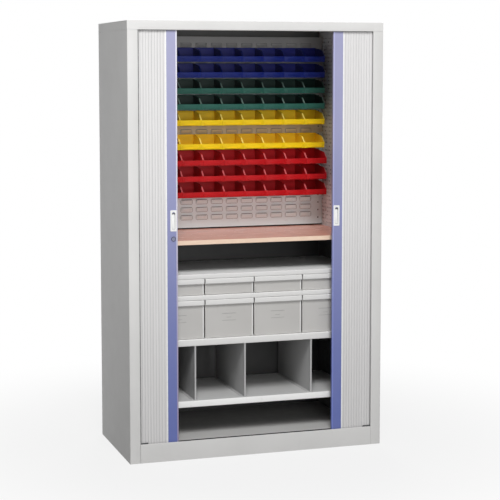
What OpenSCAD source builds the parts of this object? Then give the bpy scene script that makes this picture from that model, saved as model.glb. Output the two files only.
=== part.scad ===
// Workshop bin cabinet: a steel cupboard with two side-rolling slat curtains,
// a louvre panel of hanging bins, a worktop, suspended drawers, shelves and dividers.
// Millimetres, +Z up, +X to the right along the front, front face at -Y.
// The origin is the middle of the base, on the floor.

/* [Case] */
// Overall width
case_w = 1200; // [1180:10:1400]
// Overall depth
case_d = 580; // [570:5:660]
// Overall height
case_h = 1960; // [1940:10:2100]
// Thickness of the folded steel sheet
sheet = 1.5; // [1:0.1:2]
// Width of the upright front stiles
stile_w = 48; // [44:1:60]
// Height of the front rail under the top
top_rail_h = 40; // [32:1:50]
// Height of the front rail along the bottom
bottom_rail_h = 85; // [80:1:100]
// Depth of the folds behind the stiles and the top rail
front_fold = 5; // [3:1:6]
// Depth of the fold on the bottom rail's upper edge
bottom_fold = 6; // [4:1:8]
// Width of the folds that hold the back panel
back_fold = 25; // [15:1:40]
// Height of the deck that carries the inside and the tracks
deck_h = 58; // [50:1:62]
// Width of the flat rim that the base stands on
base_rim = 30; // [20:1:60]
// Outside of the case to the inside of the inner walls
channel_w = 94; // [88:1:110]
// Gap between pieces that sit on or in each other
seat_gap = 0.3; // [0.1:0.1:0.5]

/* [Curtains] */
// Depth of the curtain's middle plane behind the front
curtain_set = 15; // [14:1:24]
// Slat to slat distance
slat_pitch = 13; // [11:0.5:14]
// Gap between the faces of two slats
slat_gap = 0.4; // [0.2:0.1:0.8]
// Thickness of a slat
slat_t = 4; // [3:0.1:4.4]
// How much narrower each edge of a slat is at its back, so that the curtain bends
slat_bevel = 1.2; // [1:0.1:1.6]
// Slats from the left stile to the left post
left_count = 10; // [8:1:12]
// Slats from the right stile to the right post
right_count = 11; // [8:1:12]
// Slats at the curtain's tail, always on the straight side run
tail_slats = 8; // [4:1:8]
// Radius of the curtain's bend at the front corner
bend_r = 30; // [28:1:32]
// Gap between a side track and the side panel
track_side_gap = 3.5; // [2:0.5:5]
// Room left behind the curtain's tail
tail_room = 20; // [18:1:40]
// Width of a track
track_w = 14; // [12:1:16]
// Clearance each side of a slat in its groove
groove_gap = 0.8; // [0.7:0.1:1.2]
// Height of the lower track
lower_track_h = 16; // [14:1:18]
// Depth of the grooves
groove_depth = 10; // [8:1:11]
// Height of the upper track's groove above the top rail's lower edge
upper_groove_rise = 6; // [4:1:10]

/* [Posts, handles and lock] */
// Width of the leading post
post_w = 48; // [44:1:56]
// Thickness of the leading post
post_t = 14; // [14:0.5:16]
// Wall of the hollow post
post_wall = 1.5; // [1:0.1:2]
// Chamfer on the post's corners
post_chamfer = 1.5; // [0.5:0.1:2]
// Gap between a post's ends and the tracks
post_end_gap = 2; // [1:0.5:4]
// Length of a glide along the track
glide_l = 40; // [24:1:44]
// Clearance each side of a glide in the groove
glide_gap = 0.6; // [0.4:0.1:1]
// Height of the middle of the handles
handle_z = 1081; // [1065:1:1200]
// Width of a handle plate
handle_w = 29; // [24:1:32]
// Height of a handle plate
handle_h = 94; // [80:1:110]
// Thickness of a handle plate
handle_t = 2; // [1.5:0.1:3]
// Middle of the handle and the lock to the post's leading edge
handle_in = 19; // [18:0.5:22]
// Width of the finger recess
recess_w = 18; // [14:1:20]
// Height of the finger recess
recess_h = 66; // [50:1:74]
// Depth of the finger recess at its upper end
recess_d = 8; // [6:0.5:9]
// Depth of the finger recess at its lower end
recess_lip_d = 1.5; // [1:0.1:3]
// Wall around the finger recess
recess_wall = 1.5; // [1:0.1:2]
// Height of the lock's axis
lock_z = 1000; // [900:1:1010]
// Diameter of the lock's rosette
rosette_d = 22; // [20:0.5:26]
// Thickness of the rosette
rosette_t = 2; // [1.5:0.1:3]
// Outside diameter of the lock's sleeve
sleeve_d = 19; // [18:0.1:19.4]
// Length of the sleeve behind the post's face
sleeve_l = 7; // [5:0.1:7.5]
// Diameter of the turning barrel
barrel_d = 16; // [12:0.1:17]
// Running clearance round the barrel
barrel_gap = 0.08; // [0.03:0.01:0.1]
// How far the barrel stands out of its rosette
barrel_proud = 0.8; // [0.4:0.1:1.5]
// Width of the key slot
key_slot_w = 2; // [1.5:0.1:3]
// Length of the key slot
key_slot_l = 9; // [7:0.5:11]
// Depth of the key slot
key_slot_d = 4; // [2:0.5:6]
// Reach of the hook from the lock's axis
hook_reach = 26; // [24:0.5:28]
// Width of the hook
hook_w = 10; // [8:0.5:12]
// Thickness of the hook
hook_t = 2.5; // [2:0.1:3]
// Clearance round the hook in its slots
hook_gap = 1; // [0.6:0.1:2]
// Thickness of the strike plate
strike_t = 2; // [1.5:0.1:3]
// Height of the strike plate
strike_h = 60; // [50:1:90]

/* [Inside] */
// Depth of the inner walls' front edge behind the front
wall_set = 32; // [30:1:60]
// Width of the fold on an inner wall's front edge
wall_fold = 20; // [12:1:26]
// Height of a hanging slot in the inner walls
wall_slot_h = 16; // [10:1:24]
// Width of a hanging slot in the inner walls
wall_slot_w = 6; // [4:1:10]
// Depth of the shelves' front edges behind the front
shelf_set = 62; // [60:1:66]
// Distance of the louvre panel's face in front of the case's back
louvre_back = 54; // [35:1:60]
// Height of the floor panel
floor_z = 84; // [70:0.5:86]
// Height of the lower shelf's top
lower_shelf_z = 253; // [200:1:300]
// Shelf to shelf height at the tall drawers
tall_drawer_space = 199; // [160:1:240]
// Shelf to shelf height at the short drawers
short_drawer_space = 97; // [80:1:140]
// Clear height between the worktop and the shelf under it
under_worktop_h = 135; // [100:1:180]
// Gap between the worktop and the louvre panel over it
worktop_gap = 6; // [4:0.5:20]
// Height of the plain shelves' folded edges
shelf_edge = 30; // [24:1:36]
// Height of the folded edges on the shelves that carry drawers
drawer_shelf_edge = 21; // [18:1:26]
// Thickness of the worktop
worktop_t = 20; // [16:1:24]
// Leg of the angles under the worktop
angle_leg = 30; // [20:1:40]
// Thickness of clips, angles and runners
bracket_t = 2; // [1.5:0.1:3]
// Length of the angles under the worktop
angle_l = 400; // [300:10:440]
// Leg of a shelf clip
clip_leg = 20; // [14:1:26]
// Width of a shelf clip
clip_w = 25; // [15:1:40]
// Distance of the shelf clips from the shelves' front and back edges
clip_inset = 50; // [30:1:90]
// Thickness of a divider's folded front edge
divider_edge = 8; // [5:0.5:12]
// Depth of a divider's folded front edge
divider_fold = 12; // [6:1:20]
// Middle of the case to the left divider
left_divider_x = -280; // [-400:1:-160]
// Middle of the case to the middle divider
middle_divider_x = -44; // [-140:1:140]
// Middle of the case to the right divider
right_divider_x = 278; // [160:1:400]

/* [Drawers] */
// Room between the drawers and the inner walls
drawer_side_room = 37.7; // [30:0.1:60]
// Gap between two drawer fronts
drawer_gap = 7; // [5:0.5:10]
// Wall of a drawer
drawer_wall = 1.5; // [1:0.1:2]
// Seam between the front, the body and the back of a drawer
drawer_seam = 0.2; // [0.1:0.05:0.3]
// How far the fronts are set back from the shelves' edges
drawer_set = 12; // [10:0.5:16]
// Room behind a drawer in front of the shelves' back edges
drawer_back_room = 26.5; // [20.5:0.5:70.5]
// Height of the grip along a drawer's upper edge
grip_h = 23; // [18:1:26]
// Side of a front to the side of its box
box_inset = 10; // [9:0.5:12]
// Width of the flanges that a drawer hangs by
hang_flange = 8; // [7:0.5:8.5]
// Middle of a runner to the edge of its bearing flange
runner_half_w = 8.5; // [7.5:0.5:9]
// Drop of the runners' bearing flanges below the shelf's edge
runner_drop = 6; // [5:0.5:8]
// Gap between a drawer and the shelf under it
drawer_floor_gap = 2; // [1:0.5:4]
// Gap between a drawer's upper edge and the shelf over it
drawer_top_gap = 1; // [0.6:0.1:2]

/* [Louvre panel and bins] */
// Height of the louvre panel
louvre_panel_h = 913.5; // [850:0.5:930]
// Distance of the louvre panel's upper edge below the top
louvre_top_gap = 55; // [50:1:80]
// Depth of the folds down the louvre panel's sides
louvre_fold = 26; // [15:1:30]
// Lower edge of the louvre panel to the lowest louvres' open edges
louvre_rise = 59; // [40:1:70]
// Least height of plain panel over the highest louvres
louvre_head = 24; // [15:1:40]
// Row to row distance of the louvres
louvre_pitch = 37.4; // [35:0.1:40]
// Column to column distance of the louvres
louvre_step = 75.8; // [66:0.2:78]
// Width of a louvre
louvre_w = 56; // [40:1:60]
// Height of a louvre
louvre_h = 20; // [16:0.5:22]
// How far a louvre stands out
louvre_out = 9; // [8:0.5:10]
// Least room between the louvres or bins and the inner walls
louvre_side_room = 25; // [10:1:40]
// Middle to middle of the bins
bin_pitch = 103; // [100:0.5:110]
// Gap between two bins
bin_gap = 1; // [0.8:0.1:3]
// Height of a bin at its back
bin_h = 66; // [52:0.5:68]
// Length of the blue, green and yellow bins
bin_l = 128; // [110:1:185]
// Length of the red bins
red_bin_l = 160; // [140:1:230]
// Height of a bin's front lip
bin_lip_h = 25; // [20:1:40]
// Height of a bin's sides where they slope down to the lip
bin_side_h = 52; // [44:1:60]
// How far the slope of a bin's side runs back
bin_slope = 30; // [20:1:50]
// How far the front lip leans out
bin_lean = 4; // [0:0.5:8]
// Wall of a bin
bin_wall = 1.8; // [1.4:0.1:2.4]
// Upper edge of a bin's back above its hook
bin_hook_over = 13; // [6:0.5:15]
// Thickness of the hook along a bin's back
bin_hook_t = 2; // [1.5:0.1:2.5]
// Depth of the hook behind a louvre
bin_hook_drop = 5; // [3:0.5:6]
// Hook to louvre panel
bin_hook_gap = 1; // [0.8:0.1:1.5]

/* [Hidden] */
$fn = 48;
// Small overlap that joins shapes of one piece
join = 0.5;
// Half sizes of the case
half_w = case_w / 2;
half_d = case_d / 2;
// Stile edge, inner wall face and top of the side panels
stile_x = half_w - stile_w;
wall_x = half_w - channel_w;
under_top = case_h - sheet;
rail_low = case_h - top_rail_h;
// Bend and groove of the curtain tracks
bend_x = half_w - sheet - track_side_gap - track_w / 2 - bend_r;
bend_lead = bend_x - stile_x;
bend_l = bend_r * PI / 2;
groove_w = slat_t + 2 * groove_gap;
lower_track_top = deck_h + lower_track_h;
groove_floor = lower_track_top - groove_depth;
upper_track_low = rail_low + upper_groove_rise;
upper_groove_top = upper_track_low + groove_depth;
stored_l = bend_lead + bend_l + case_d - 2 * sheet - tail_room - curtain_set - bend_r;
stored_slats = floor(stored_l / slat_pitch);
bend_slats = stored_slats - tail_slats;
tail_end_s = stored_slats * slat_pitch;
tail_end_v = side_run_v(tail_end_s);
track_end_v = tail_end_v + post_end_gap;
side_track_l = track_end_v + track_w / 2 - curtain_set - bend_r;
// Leading posts
post_v = curtain_set - slat_t / 2 - post_wall;
post_low = lower_track_top + post_end_gap;
post_high = upper_track_low - post_end_gap;
hook_v = post_v + post_wall + sleeve_l + seat_gap;
hook_slot_low = sqrt(pow(hook_reach, 2) - pow(handle_in - post_wall - hook_gap, 2)) + hook_gap;
// Inside widths and depths
inside_w = 2 * (wall_x - seat_gap);
louvre_set = case_d - louvre_back;
shelf_d = louvre_set - shelf_set;
back_y = half_d - 2 * sheet;
// Heights that hang from the top: louvre panel, worktop, drawer shelves and the shelf under them
louvre_low = under_top - louvre_top_gap - louvre_panel_h;
worktop_z = louvre_low - worktop_gap;
short_shelf_z = worktop_z - worktop_t - under_worktop_h;
tall_shelf_z = short_shelf_z - short_drawer_space;
middle_shelf_z = tall_shelf_z - tall_drawer_space;
// Drawers
drawer_columns = 4;
drawer_pitch = (inside_w - 2 * drawer_side_room) / drawer_columns;
front_w = drawer_pitch - drawer_gap;
box_w = front_w - 2 * box_inset;
front_v = shelf_set + drawer_set;
drawer_l = louvre_set - front_v - drawer_wall - drawer_back_room;
runner_l = drawer_l - drawer_set;
// Louvres, as many as the panel has room for
louvre_z = louvre_low + louvre_rise;
louvre_rows = floor((louvre_panel_h - louvre_rise - louvre_head) / louvre_pitch) + 1;
louvre_columns = floor((inside_w - 2 * louvre_side_room - louvre_w) / louvre_step) + 1;
// Bins across, and the louvres from the highest row down to each row of bins, from the lowest row up
bin_count = floor((inside_w - 2 * louvre_side_room) / bin_pitch);
bin_rows = [18, 16, 14, 12, 9, 7, 5, 3, 1];
// Paint and plastic colours
grey = [0.82, 0.82, 0.81];
pale = [0.88, 0.88, 0.87];
lavender = [0.52, 0.53, 0.78];
red = [0.72, 0.1, 0.13];
yellow = [0.93, 0.75, 0.1];
green = [0.12, 0.32, 0.27];
blue = [0.13, 0.15, 0.45];

// Depth behind the front as a Y position
function front_y(v) = v - half_d;

// Angle of the track's bend at a distance past the stile's edge
function bend_angle(s) = min(90, max(0, (s - bend_lead) / bend_r * 180 / PI));

// Depth on the straight side run at a distance past the stile's edge
function side_run_v(s) = curtain_set + bend_r + max(0, s - bend_lead - bend_l);

// Place on the curtain's path at a distance past the stile's edge, on the right
function path_point(s) = [
  stile_x + min(s, bend_lead) + bend_r * sin(bend_angle(s)),
  front_y(side_run_v(s) - bend_r * cos(bend_angle(s)))
];

// Outer and leading edges of a post, and the middle of its handle, from the middle of the case
function post_outer(side) = stile_x - (side < 0 ? left_count : right_count) * slat_pitch;
function post_inner(side) = post_outer(side) - post_w;
function handle_x(side) = post_inner(side) + handle_in;

// Box from one corner to the opposite one
module span(low, high) {
  translate(low) cube(high - low);
}

// The right-hand shape, or its mirror on the left
module on_side(side) {
  mirror([side < 0 ? 1 : 0, 0, 0]) children();
}

// Case

module side_panel(side) {
  on_side(side) union() {
    linear_extrude(under_top) {
      translate([half_w - sheet, -half_d]) square([sheet, case_d]);
      translate([half_w - back_fold, half_d - sheet]) square([back_fold, sheet]);
    }
    linear_extrude(rail_low - seat_gap) {
      translate([stile_x, -half_d]) square([stile_w, sheet]);
      translate([stile_x, -half_d]) square([sheet, front_fold]);
    }
  }
}

module left_side_panel() {
  color(grey) side_panel(-1);
}

module right_side_panel() {
  color(grey) side_panel(1);
}

module top_panel() {
  rail_x = half_w - sheet - seat_gap;
  color(pale) union() {
    span([-half_w, -half_d, under_top], [half_w, half_d, case_h]);
    span([-rail_x, -half_d, rail_low], [rail_x, -half_d + sheet, case_h]);
    span([-rail_x, -half_d, rail_low], [rail_x, -half_d + front_fold, rail_low + sheet]);
  }
}

module bottom_rail() {
  color(grey) union() {
    span([-stile_x, -half_d, 0], [stile_x, -half_d + sheet, bottom_rail_h]);
    span([-stile_x, -half_d, bottom_rail_h - sheet], [stile_x, -half_d + bottom_fold, bottom_rail_h]);
  }
}

module base_plinth() {
  x = half_w - sheet;
  front = -half_d + front_fold;
  rim = sheet + base_rim;
  color(grey) union() {
    difference() {
      span([-x, front, 0], [x, back_y, deck_h]);
      span([-x + sheet, front + sheet, sheet], [x - sheet, back_y - sheet, deck_h - sheet]);
      span([-x + rim, front + rim, -join], [x - rim, back_y - rim, sheet + join]);
    }
    span([-stile_x, -half_d + sheet, deck_h - sheet], [stile_x, front + join, deck_h]);
  }
}

module back_panel() {
  color(grey) span([-half_w + sheet, back_y, 0], [half_w - sheet, back_y + sheet, under_top]);
}

// Folded tray with its open side down
module tray(low, high) {
  difference() {
    span(low, high);
    span(low + [sheet, sheet, -join], high - [sheet, sheet, sheet]);
  }
}

module floor_panel() {
  front = front_y(post_v + post_t + post_end_gap);
  color(grey) tray([-inside_w / 2, front, deck_h], [inside_w / 2, back_y, floor_z]);
}

module inner_wall(side) {
  front = front_y(wall_set);
  slot_count = floor((under_top - 2 * louvre_pitch - floor_z) / louvre_pitch);
  on_side(side) difference() {
    union() {
      span([wall_x, front, deck_h], [wall_x + sheet, back_y, under_top]);
      span([wall_x, front, lower_track_top], [wall_x + wall_fold, front + sheet, upper_track_low]);
    }
    for (v = [shelf_set + clip_inset, louvre_set - clip_inset])
      for (k = [1 : slot_count])
        translate([wall_x - join, front_y(v) - wall_slot_w / 2, floor_z + k * louvre_pitch])
          cube([sheet + 2 * join, wall_slot_w, wall_slot_h]);
  }
}

module left_inner_wall() {
  color(grey) inner_wall(-1);
}

module right_inner_wall() {
  color(grey) inner_wall(1);
}

// Curtain tracks

// Straight track along the front, with its groove cut from the given height
module front_track(low, high, groove_low) {
  front = front_y(curtain_set);
  difference() {
    span([-bend_x, front - track_w / 2, low], [bend_x, front + track_w / 2, high]);
    span([-bend_x - join, front - groove_w / 2, groove_low],
      [bend_x + join, front + groove_w / 2, groove_low + groove_depth + join]);
  }
}

module upper_track() {
  color(pale) front_track(upper_track_low, under_top, upper_track_low - join);
}

module lower_track() {
  color(pale) front_track(deck_h, lower_track_top, groove_floor);
}

// Plan of a band of the given width along the bend and the side run
module side_band(width, run) {
  middle_y = front_y(curtain_set + bend_r);
  translate([bend_x, middle_y]) {
    intersection() {
      difference() {
        circle(bend_r + width / 2);
        circle(bend_r - width / 2);
      }
      translate([0, -2 * bend_r]) square(2 * bend_r);
    }
    translate([bend_r - width / 2, -join]) square([width, run + join]);
  }
}

module side_track(low, high, groove_low) {
  groove_l = track_end_v - curtain_set - bend_r;
  difference() {
    translate([0, 0, low]) linear_extrude(high - low) side_band(track_w, side_track_l);
    translate([0, 0, groove_low]) linear_extrude(groove_depth + join) side_band(groove_w, groove_l);
  }
}

module side_tracks(side) {
  on_side(side) {
    side_track(deck_h, lower_track_top, groove_floor);
    side_track(upper_track_low, under_top, upper_track_low - join);
  }
}

module left_side_tracks() {
  color(pale) side_tracks(-1);
}

module right_side_tracks() {
  color(pale) side_tracks(1);
}

// Worktop and shelves

module worktop() {
  front = front_y(shelf_set);
  back = front_y(louvre_set) - seat_gap;
  color([0.78, 0.56, 0.48])
    span([-inside_w / 2, front, worktop_z - worktop_t], [inside_w / 2, back, worktop_z]);
}

// Angle along Y against an inner wall, with its upper face at a height
module wall_angle(side, v, length, leg, height) {
  on_side(side) translate([wall_x, front_y(v) - length / 2, height]) {
    translate([-leg, 0, -bracket_t]) cube([leg, length, bracket_t]);
    translate([-bracket_t, 0, -leg]) cube([bracket_t, length, leg]);
  }
}

module worktop_angles() {
  color(grey) for (side = [-1, 1])
    wall_angle(side, (shelf_set + louvre_set) / 2, angle_l, angle_leg, worktop_z - worktop_t);
}

module shelf(height, edge) {
  color(pale) tray(
    [-inside_w / 2, front_y(shelf_set), height - edge],
    [inside_w / 2, front_y(louvre_set), height]
  );
}

module short_drawer_shelf() {
  shelf(short_shelf_z, drawer_shelf_edge);
}

module tall_drawer_shelf() {
  shelf(tall_shelf_z, drawer_shelf_edge);
}

module middle_shelf() {
  shelf(middle_shelf_z, shelf_edge);
}

module lower_shelf() {
  shelf(lower_shelf_z, shelf_edge);
}

module shelf_clips() {
  undersides = [
    short_shelf_z - drawer_shelf_edge, tall_shelf_z - drawer_shelf_edge,
    middle_shelf_z - shelf_edge, lower_shelf_z - shelf_edge
  ];
  color("silver") for (side = [-1, 1])
    for (v = [shelf_set + clip_inset, louvre_set - clip_inset])
      for (height = undersides)
        wall_angle(side, v, clip_w, clip_leg, height);
}

module divider(x) {
  front = front_y(shelf_set) + seat_gap;
  high = middle_shelf_z - shelf_edge - seat_gap;
  color(grey) union() {
    span([x - sheet / 2, front, lower_shelf_z], [x + sheet / 2, front_y(louvre_set), high]);
    span([x - divider_edge / 2, front, lower_shelf_z], [x + divider_edge / 2, front + sheet, high]);
    for (side = [-1, 1])
      translate([x + side * (divider_edge - sheet) / 2 - sheet / 2, front, lower_shelf_z])
        cube([sheet, divider_fold, high - lower_shelf_z]);
  }
}

module divider_left() {
  divider(left_divider_x);
}

module divider_middle() {
  divider(middle_divider_x);
}

module divider_right() {
  divider(right_divider_x);
}

// Drawers

// Upper face of the runners' bearing flanges under a shelf
function bearing_z(shelf_z) = shelf_z - drawer_shelf_edge - runner_drop;

// Tee runners under a shelf, one on each side of every drawer
module runners(shelf_z) {
  front = front_y(front_v + drawer_wall + drawer_set);
  web_top = shelf_z - sheet;
  color("silver") for (k = [0 : drawer_columns])
    translate([(k - drawer_columns / 2) * drawer_pitch, front, bearing_z(shelf_z)]) union() {
      translate([-bracket_t / 2, 0, -bracket_t])
        cube([bracket_t, runner_l, web_top - bearing_z(shelf_z) + bracket_t]);
      translate([-runner_half_w, 0, -bracket_t]) cube([2 * runner_half_w, runner_l, bracket_t]);
    }
}

module short_drawer_runners() {
  runners(short_shelf_z);
}

module tall_drawer_runners() {
  runners(tall_shelf_z);
}

// Profile of a drawer's front and its grip, as depth and height
module front_profile(height) {
  translate([drawer_set, 0]) square([drawer_wall, height]);
  translate([0, height - drawer_wall]) square([drawer_set + drawer_wall, drawer_wall]);
  translate([0, height - grip_h]) square([drawer_wall, grip_h]);
}

// Profile of a drawer's body with the flanges it hangs by, as width and height
module body_profile(height) {
  half = box_w / 2;
  translate([-half, 0]) square([box_w, drawer_wall]);
  for (side = [-1, 1]) {
    translate([side * (half - drawer_wall / 2) - drawer_wall / 2, 0]) square([drawer_wall, height]);
    translate([side * (half + hang_flange / 2) - hang_flange / 2, height - drawer_wall])
      square([hang_flange, drawer_wall]);
  }
}

// Drawer that hangs under one shelf and stands clear of the next: front, folded body and back
module drawer(column, shelf_z, next_z) {
  low = next_z + drawer_floor_gap;
  height = shelf_z - drawer_shelf_edge - drawer_top_gap - low;
  box_h = bearing_z(shelf_z) + seat_gap + drawer_wall - low;
  first = drawer_set + drawer_wall + drawer_seam;
  back = drawer_set + drawer_l;
  run = back - drawer_seam - first;
  x = (column - (drawer_columns + 1) / 2) * drawer_pitch;
  color([0.74, 0.73, 0.71]) translate([x, front_y(shelf_set), low]) union() {
    translate([-front_w / 2, 0, 0]) rotate([90, 0, 90]) linear_extrude(front_w) front_profile(height);
    translate([0, first + run, 0]) rotate([90, 0, 0]) linear_extrude(run) body_profile(box_h);
    translate([-box_w / 2, back, 0]) cube([box_w, drawer_wall, box_h]);
  }
}

module short_drawer(column) {
  drawer(column, short_shelf_z, tall_shelf_z);
}

module tall_drawer(column) {
  drawer(column, tall_shelf_z, middle_shelf_z);
}

module short_drawer_1() {
  short_drawer(1);
}

module short_drawer_2() {
  short_drawer(2);
}

module short_drawer_3() {
  short_drawer(3);
}

module short_drawer_4() {
  short_drawer(4);
}

module tall_drawer_1() {
  tall_drawer(1);
}

module tall_drawer_2() {
  tall_drawer(2);
}

module tall_drawer_3() {
  tall_drawer(3);
}

module tall_drawer_4() {
  tall_drawer(4);
}

// Louvre panel and bins

// Section of a louvre as depth in front of the panel and height up to its open edge
module louvre_section() {
  polygon([
    [-join, -louvre_h],
    [0, -louvre_h],
    [louvre_out, 0],
    [louvre_out - sheet, 0],
    [-join, -louvre_h + 2 * sheet]
  ]);
}

module louvre_panel() {
  face = front_y(louvre_set);
  high = under_top - louvre_top_gap;
  half = inside_w / 2;
  color([0.7, 0.7, 0.68]) union() {
    span([-half, face, louvre_low], [half, face + sheet, high]);
    for (side = [-1, 1])
      translate([side * (half - sheet / 2) - sheet / 2, face, louvre_low])
        cube([sheet, louvre_fold, high - louvre_low]);
    for (row = [0 : louvre_rows - 1])
      for (column = [0 : louvre_columns - 1])
        translate([(column - (louvre_columns - 1) / 2) * louvre_step, face, louvre_z + row * louvre_pitch])
          rotate([90, 0, -90]) translate([0, 0, -louvre_w / 2]) linear_extrude(louvre_w) louvre_section();
  }
}

// Side view of a bin's outside
module bin_side(length) {
  polygon([
    [0, 0],
    [length, 0],
    [length + bin_lean, bin_lip_h],
    [length - bin_slope, bin_side_h],
    [0, bin_h]
  ]);
}

// Side view of a bin's hollow, open at the top
module bin_hollow(length) {
  front = length + bin_lean - bin_wall;
  high = max(bin_h, bin_side_h) + join;
  polygon([
    [bin_wall, bin_wall],
    [length - bin_wall, bin_wall],
    [front, bin_lip_h],
    [front, high],
    [bin_wall, high]
  ]);
}

// Open bin with its back at y = 0 and its hook behind it
module bin(length) {
  width = bin_pitch - bin_gap;
  hook_back = louvre_out + seat_gap - bin_hook_gap;
  module slab(w) {
    rotate([90, 0, -90]) translate([0, 0, -w / 2]) linear_extrude(w) children();
  }
  union() {
    difference() {
      slab(width) bin_side(length);
      slab(width - 2 * bin_wall) bin_hollow(length);
    }
    slab(width) translate([-hook_back, bin_h - bin_hook_over - bin_hook_t]) {
      square([hook_back + join, bin_hook_t]);
      translate([0, -bin_hook_drop]) square([bin_hook_t, bin_hook_drop + join]);
    }
  }
}

module bin_row(row, length, paint) {
  seat = louvre_z + (louvre_rows - 1 - bin_rows[row]) * louvre_pitch + seat_gap;
  back = front_y(louvre_set) - louvre_out - seat_gap;
  color(paint) for (k = [0 : bin_count - 1])
    translate([(k - (bin_count - 1) / 2) * bin_pitch, back, seat + bin_hook_t + bin_hook_over - bin_h])
      bin(length);
}

module red_bins_1() {
  bin_row(0, red_bin_l, red);
}

module red_bins_2() {
  bin_row(1, red_bin_l, red);
}

module red_bins_3() {
  bin_row(2, red_bin_l, red);
}

module yellow_bins_1() {
  bin_row(3, bin_l, yellow);
}

module yellow_bins_2() {
  bin_row(4, bin_l, yellow);
}

module green_bins_1() {
  bin_row(5, bin_l, green);
}

module green_bins_2() {
  bin_row(6, bin_l, green);
}

module blue_bins_1() {
  bin_row(7, bin_l, blue);
}

module blue_bins_2() {
  bin_row(8, bin_l, blue);
}

// Curtain slats

// Slats of the right curtain from one count to another past the stile's edge
module slats(side, first, last) {
  low = groove_floor + seat_gap;
  length = upper_groove_top - post_end_gap - low;
  face = (slat_pitch - slat_gap) / 2;
  back = face - slat_bevel;
  color([0.9, 0.9, 0.9]) on_side(side) for (k = [first : last]) {
    s = (k + 0.5) * slat_pitch;
    translate([path_point(s)[0], path_point(s)[1], low]) rotate(bend_angle(s)) linear_extrude(length)
      polygon([[-face, -slat_t / 2], [face, -slat_t / 2], [back, slat_t / 2], [-back, slat_t / 2]]);
  }
}

module left_front_slats() {
  slats(-1, -left_count, -1);
}

module right_front_slats() {
  slats(1, -right_count, -1);
}

module left_bend_slats() {
  slats(-1, 0, bend_slats - 1);
}

module right_bend_slats() {
  slats(1, 0, bend_slats - 1);
}

module left_tail_slats() {
  slats(-1, bend_slats, stored_slats - 1);
}

module right_tail_slats() {
  slats(1, bend_slats, stored_slats - 1);
}

// Posts, handles and lock

// Plan of a post drawn in by a margin, with chamfered corners
module post_plan(side, margin) {
  x0 = post_inner(side) + margin;
  x1 = post_outer(side) - margin;
  y0 = front_y(post_v) + margin;
  y1 = front_y(post_v + post_t) - margin;
  c = max(post_chamfer - margin, 0.01);
  polygon([
    [x0 + c, y0], [x1 - c, y0], [x1, y0 + c], [x1, y1 - c],
    [x1 - c, y1], [x0 + c, y1], [x0, y1 - c], [x0, y0 + c]
  ]);
}

// Hollow post with the handle's cut-out and the slot that the lock's hook passes
module post(side) {
  cup_w = recess_w + 2 * (recess_wall + seat_gap);
  cup_h = recess_h + 2 * (recess_wall + seat_gap);
  face = front_y(post_v);
  inner = post_inner(side);
  on_side(side) difference() {
    translate([0, 0, post_low]) linear_extrude(post_high - post_low) difference() {
      post_plan(side, 0);
      post_plan(side, post_wall);
    }
    translate([handle_x(side) - cup_w / 2, face - join, handle_z - cup_h / 2])
      cube([cup_w, post_wall + 2 * join, cup_h]);
    span([inner - join, front_y(hook_v) - hook_gap, lock_z - hook_slot_low],
      [inner + post_wall + join, front_y(hook_v + hook_t) + hook_gap, lock_z + hook_w / 2 + hook_gap]);
  }
}

module left_post() {
  color(lavender) difference() {
    post(-1);
    translate([-handle_x(-1), front_y(post_v), lock_z]) rotate([90, 0, 0])
      cylinder(d = sleeve_d, h = 4 * post_wall, center = true);
  }
}

module right_post() {
  color(lavender) post(1);
}

// Glides under and over a post, in the grooves of the tracks
module glides(side) {
  x = (post_inner(side) + post_outer(side)) / 2;
  y = front_y(curtain_set);
  half_t = groove_w / 2 - glide_gap;
  on_side(side) {
    span([x - glide_l / 2, y - half_t, groove_floor + seat_gap], [x + glide_l / 2, y + half_t, post_low]);
    span([x - glide_l / 2, y - half_t, post_high],
      [x + glide_l / 2, y + half_t, upper_groove_top - post_end_gap]);
  }
}

module left_glides() {
  color("dimgray") glides(-1);
}

module right_glides() {
  color("dimgray") glides(1);
}

// Handle plate with a finger recess that is deepest at its upper end
module handle(side) {
  cup_w = recess_w + 2 * recess_wall;
  cup_h = recess_h + 2 * recess_wall;
  face = front_y(post_v);
  color("white") on_side(side) translate([handle_x(side), face, handle_z]) difference() {
    union() {
      translate([-handle_w / 2, -handle_t, -handle_h / 2]) cube([handle_w, handle_t, handle_h]);
      translate([-cup_w / 2, -join, -cup_h / 2])
        cube([cup_w, recess_d + recess_wall + join - handle_t, cup_h]);
    }
    translate([-recess_w / 2, -handle_t, 0]) rotate([90, 0, 90]) linear_extrude(recess_w) polygon([
      [-join, -recess_h / 2],
      [recess_lip_d, -recess_h / 2],
      [recess_d, recess_h / 2],
      [-join, recess_h / 2]
    ]);
  }
}

module left_handle() {
  handle(-1);
}

module right_handle() {
  handle(1);
}

// Cylinder along Y from one depth behind the front to another, on the lock's axis
module lock_round(diameter, v0, v1) {
  translate([-handle_x(-1), front_y(v1), lock_z]) rotate([90, 0, 0]) cylinder(d = diameter, h = v1 - v0);
}

module lock_rosette() {
  bore = barrel_d + 2 * barrel_gap;
  color("silver") difference() {
    union() {
      lock_round(rosette_d, post_v - rosette_t, post_v);
      lock_round(sleeve_d, post_v - join, post_v + post_wall + sleeve_l);
    }
    lock_round(bore, post_v - rosette_t - join, hook_v + join);
  }
}

module lock_barrel() {
  front = post_v - rosette_t - barrel_proud;
  color("gray") difference() {
    lock_round(barrel_d, front, hook_v);
    translate([-handle_x(-1) - key_slot_w / 2, front_y(front) - join, lock_z - key_slot_l / 2])
      cube([key_slot_w, key_slot_d + join, key_slot_l]);
  }
}

module lock_hook() {
  half = hook_w / 2;
  length = sqrt(pow(hook_reach, 2) - pow(half, 2));
  color("silver") translate([-handle_x(-1), front_y(hook_v + hook_t), lock_z]) rotate([90, 0, 0])
    linear_extrude(hook_t) union() {
      circle(half);
      translate([-half, -length]) square([hook_w, length]);
    }
}

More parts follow.
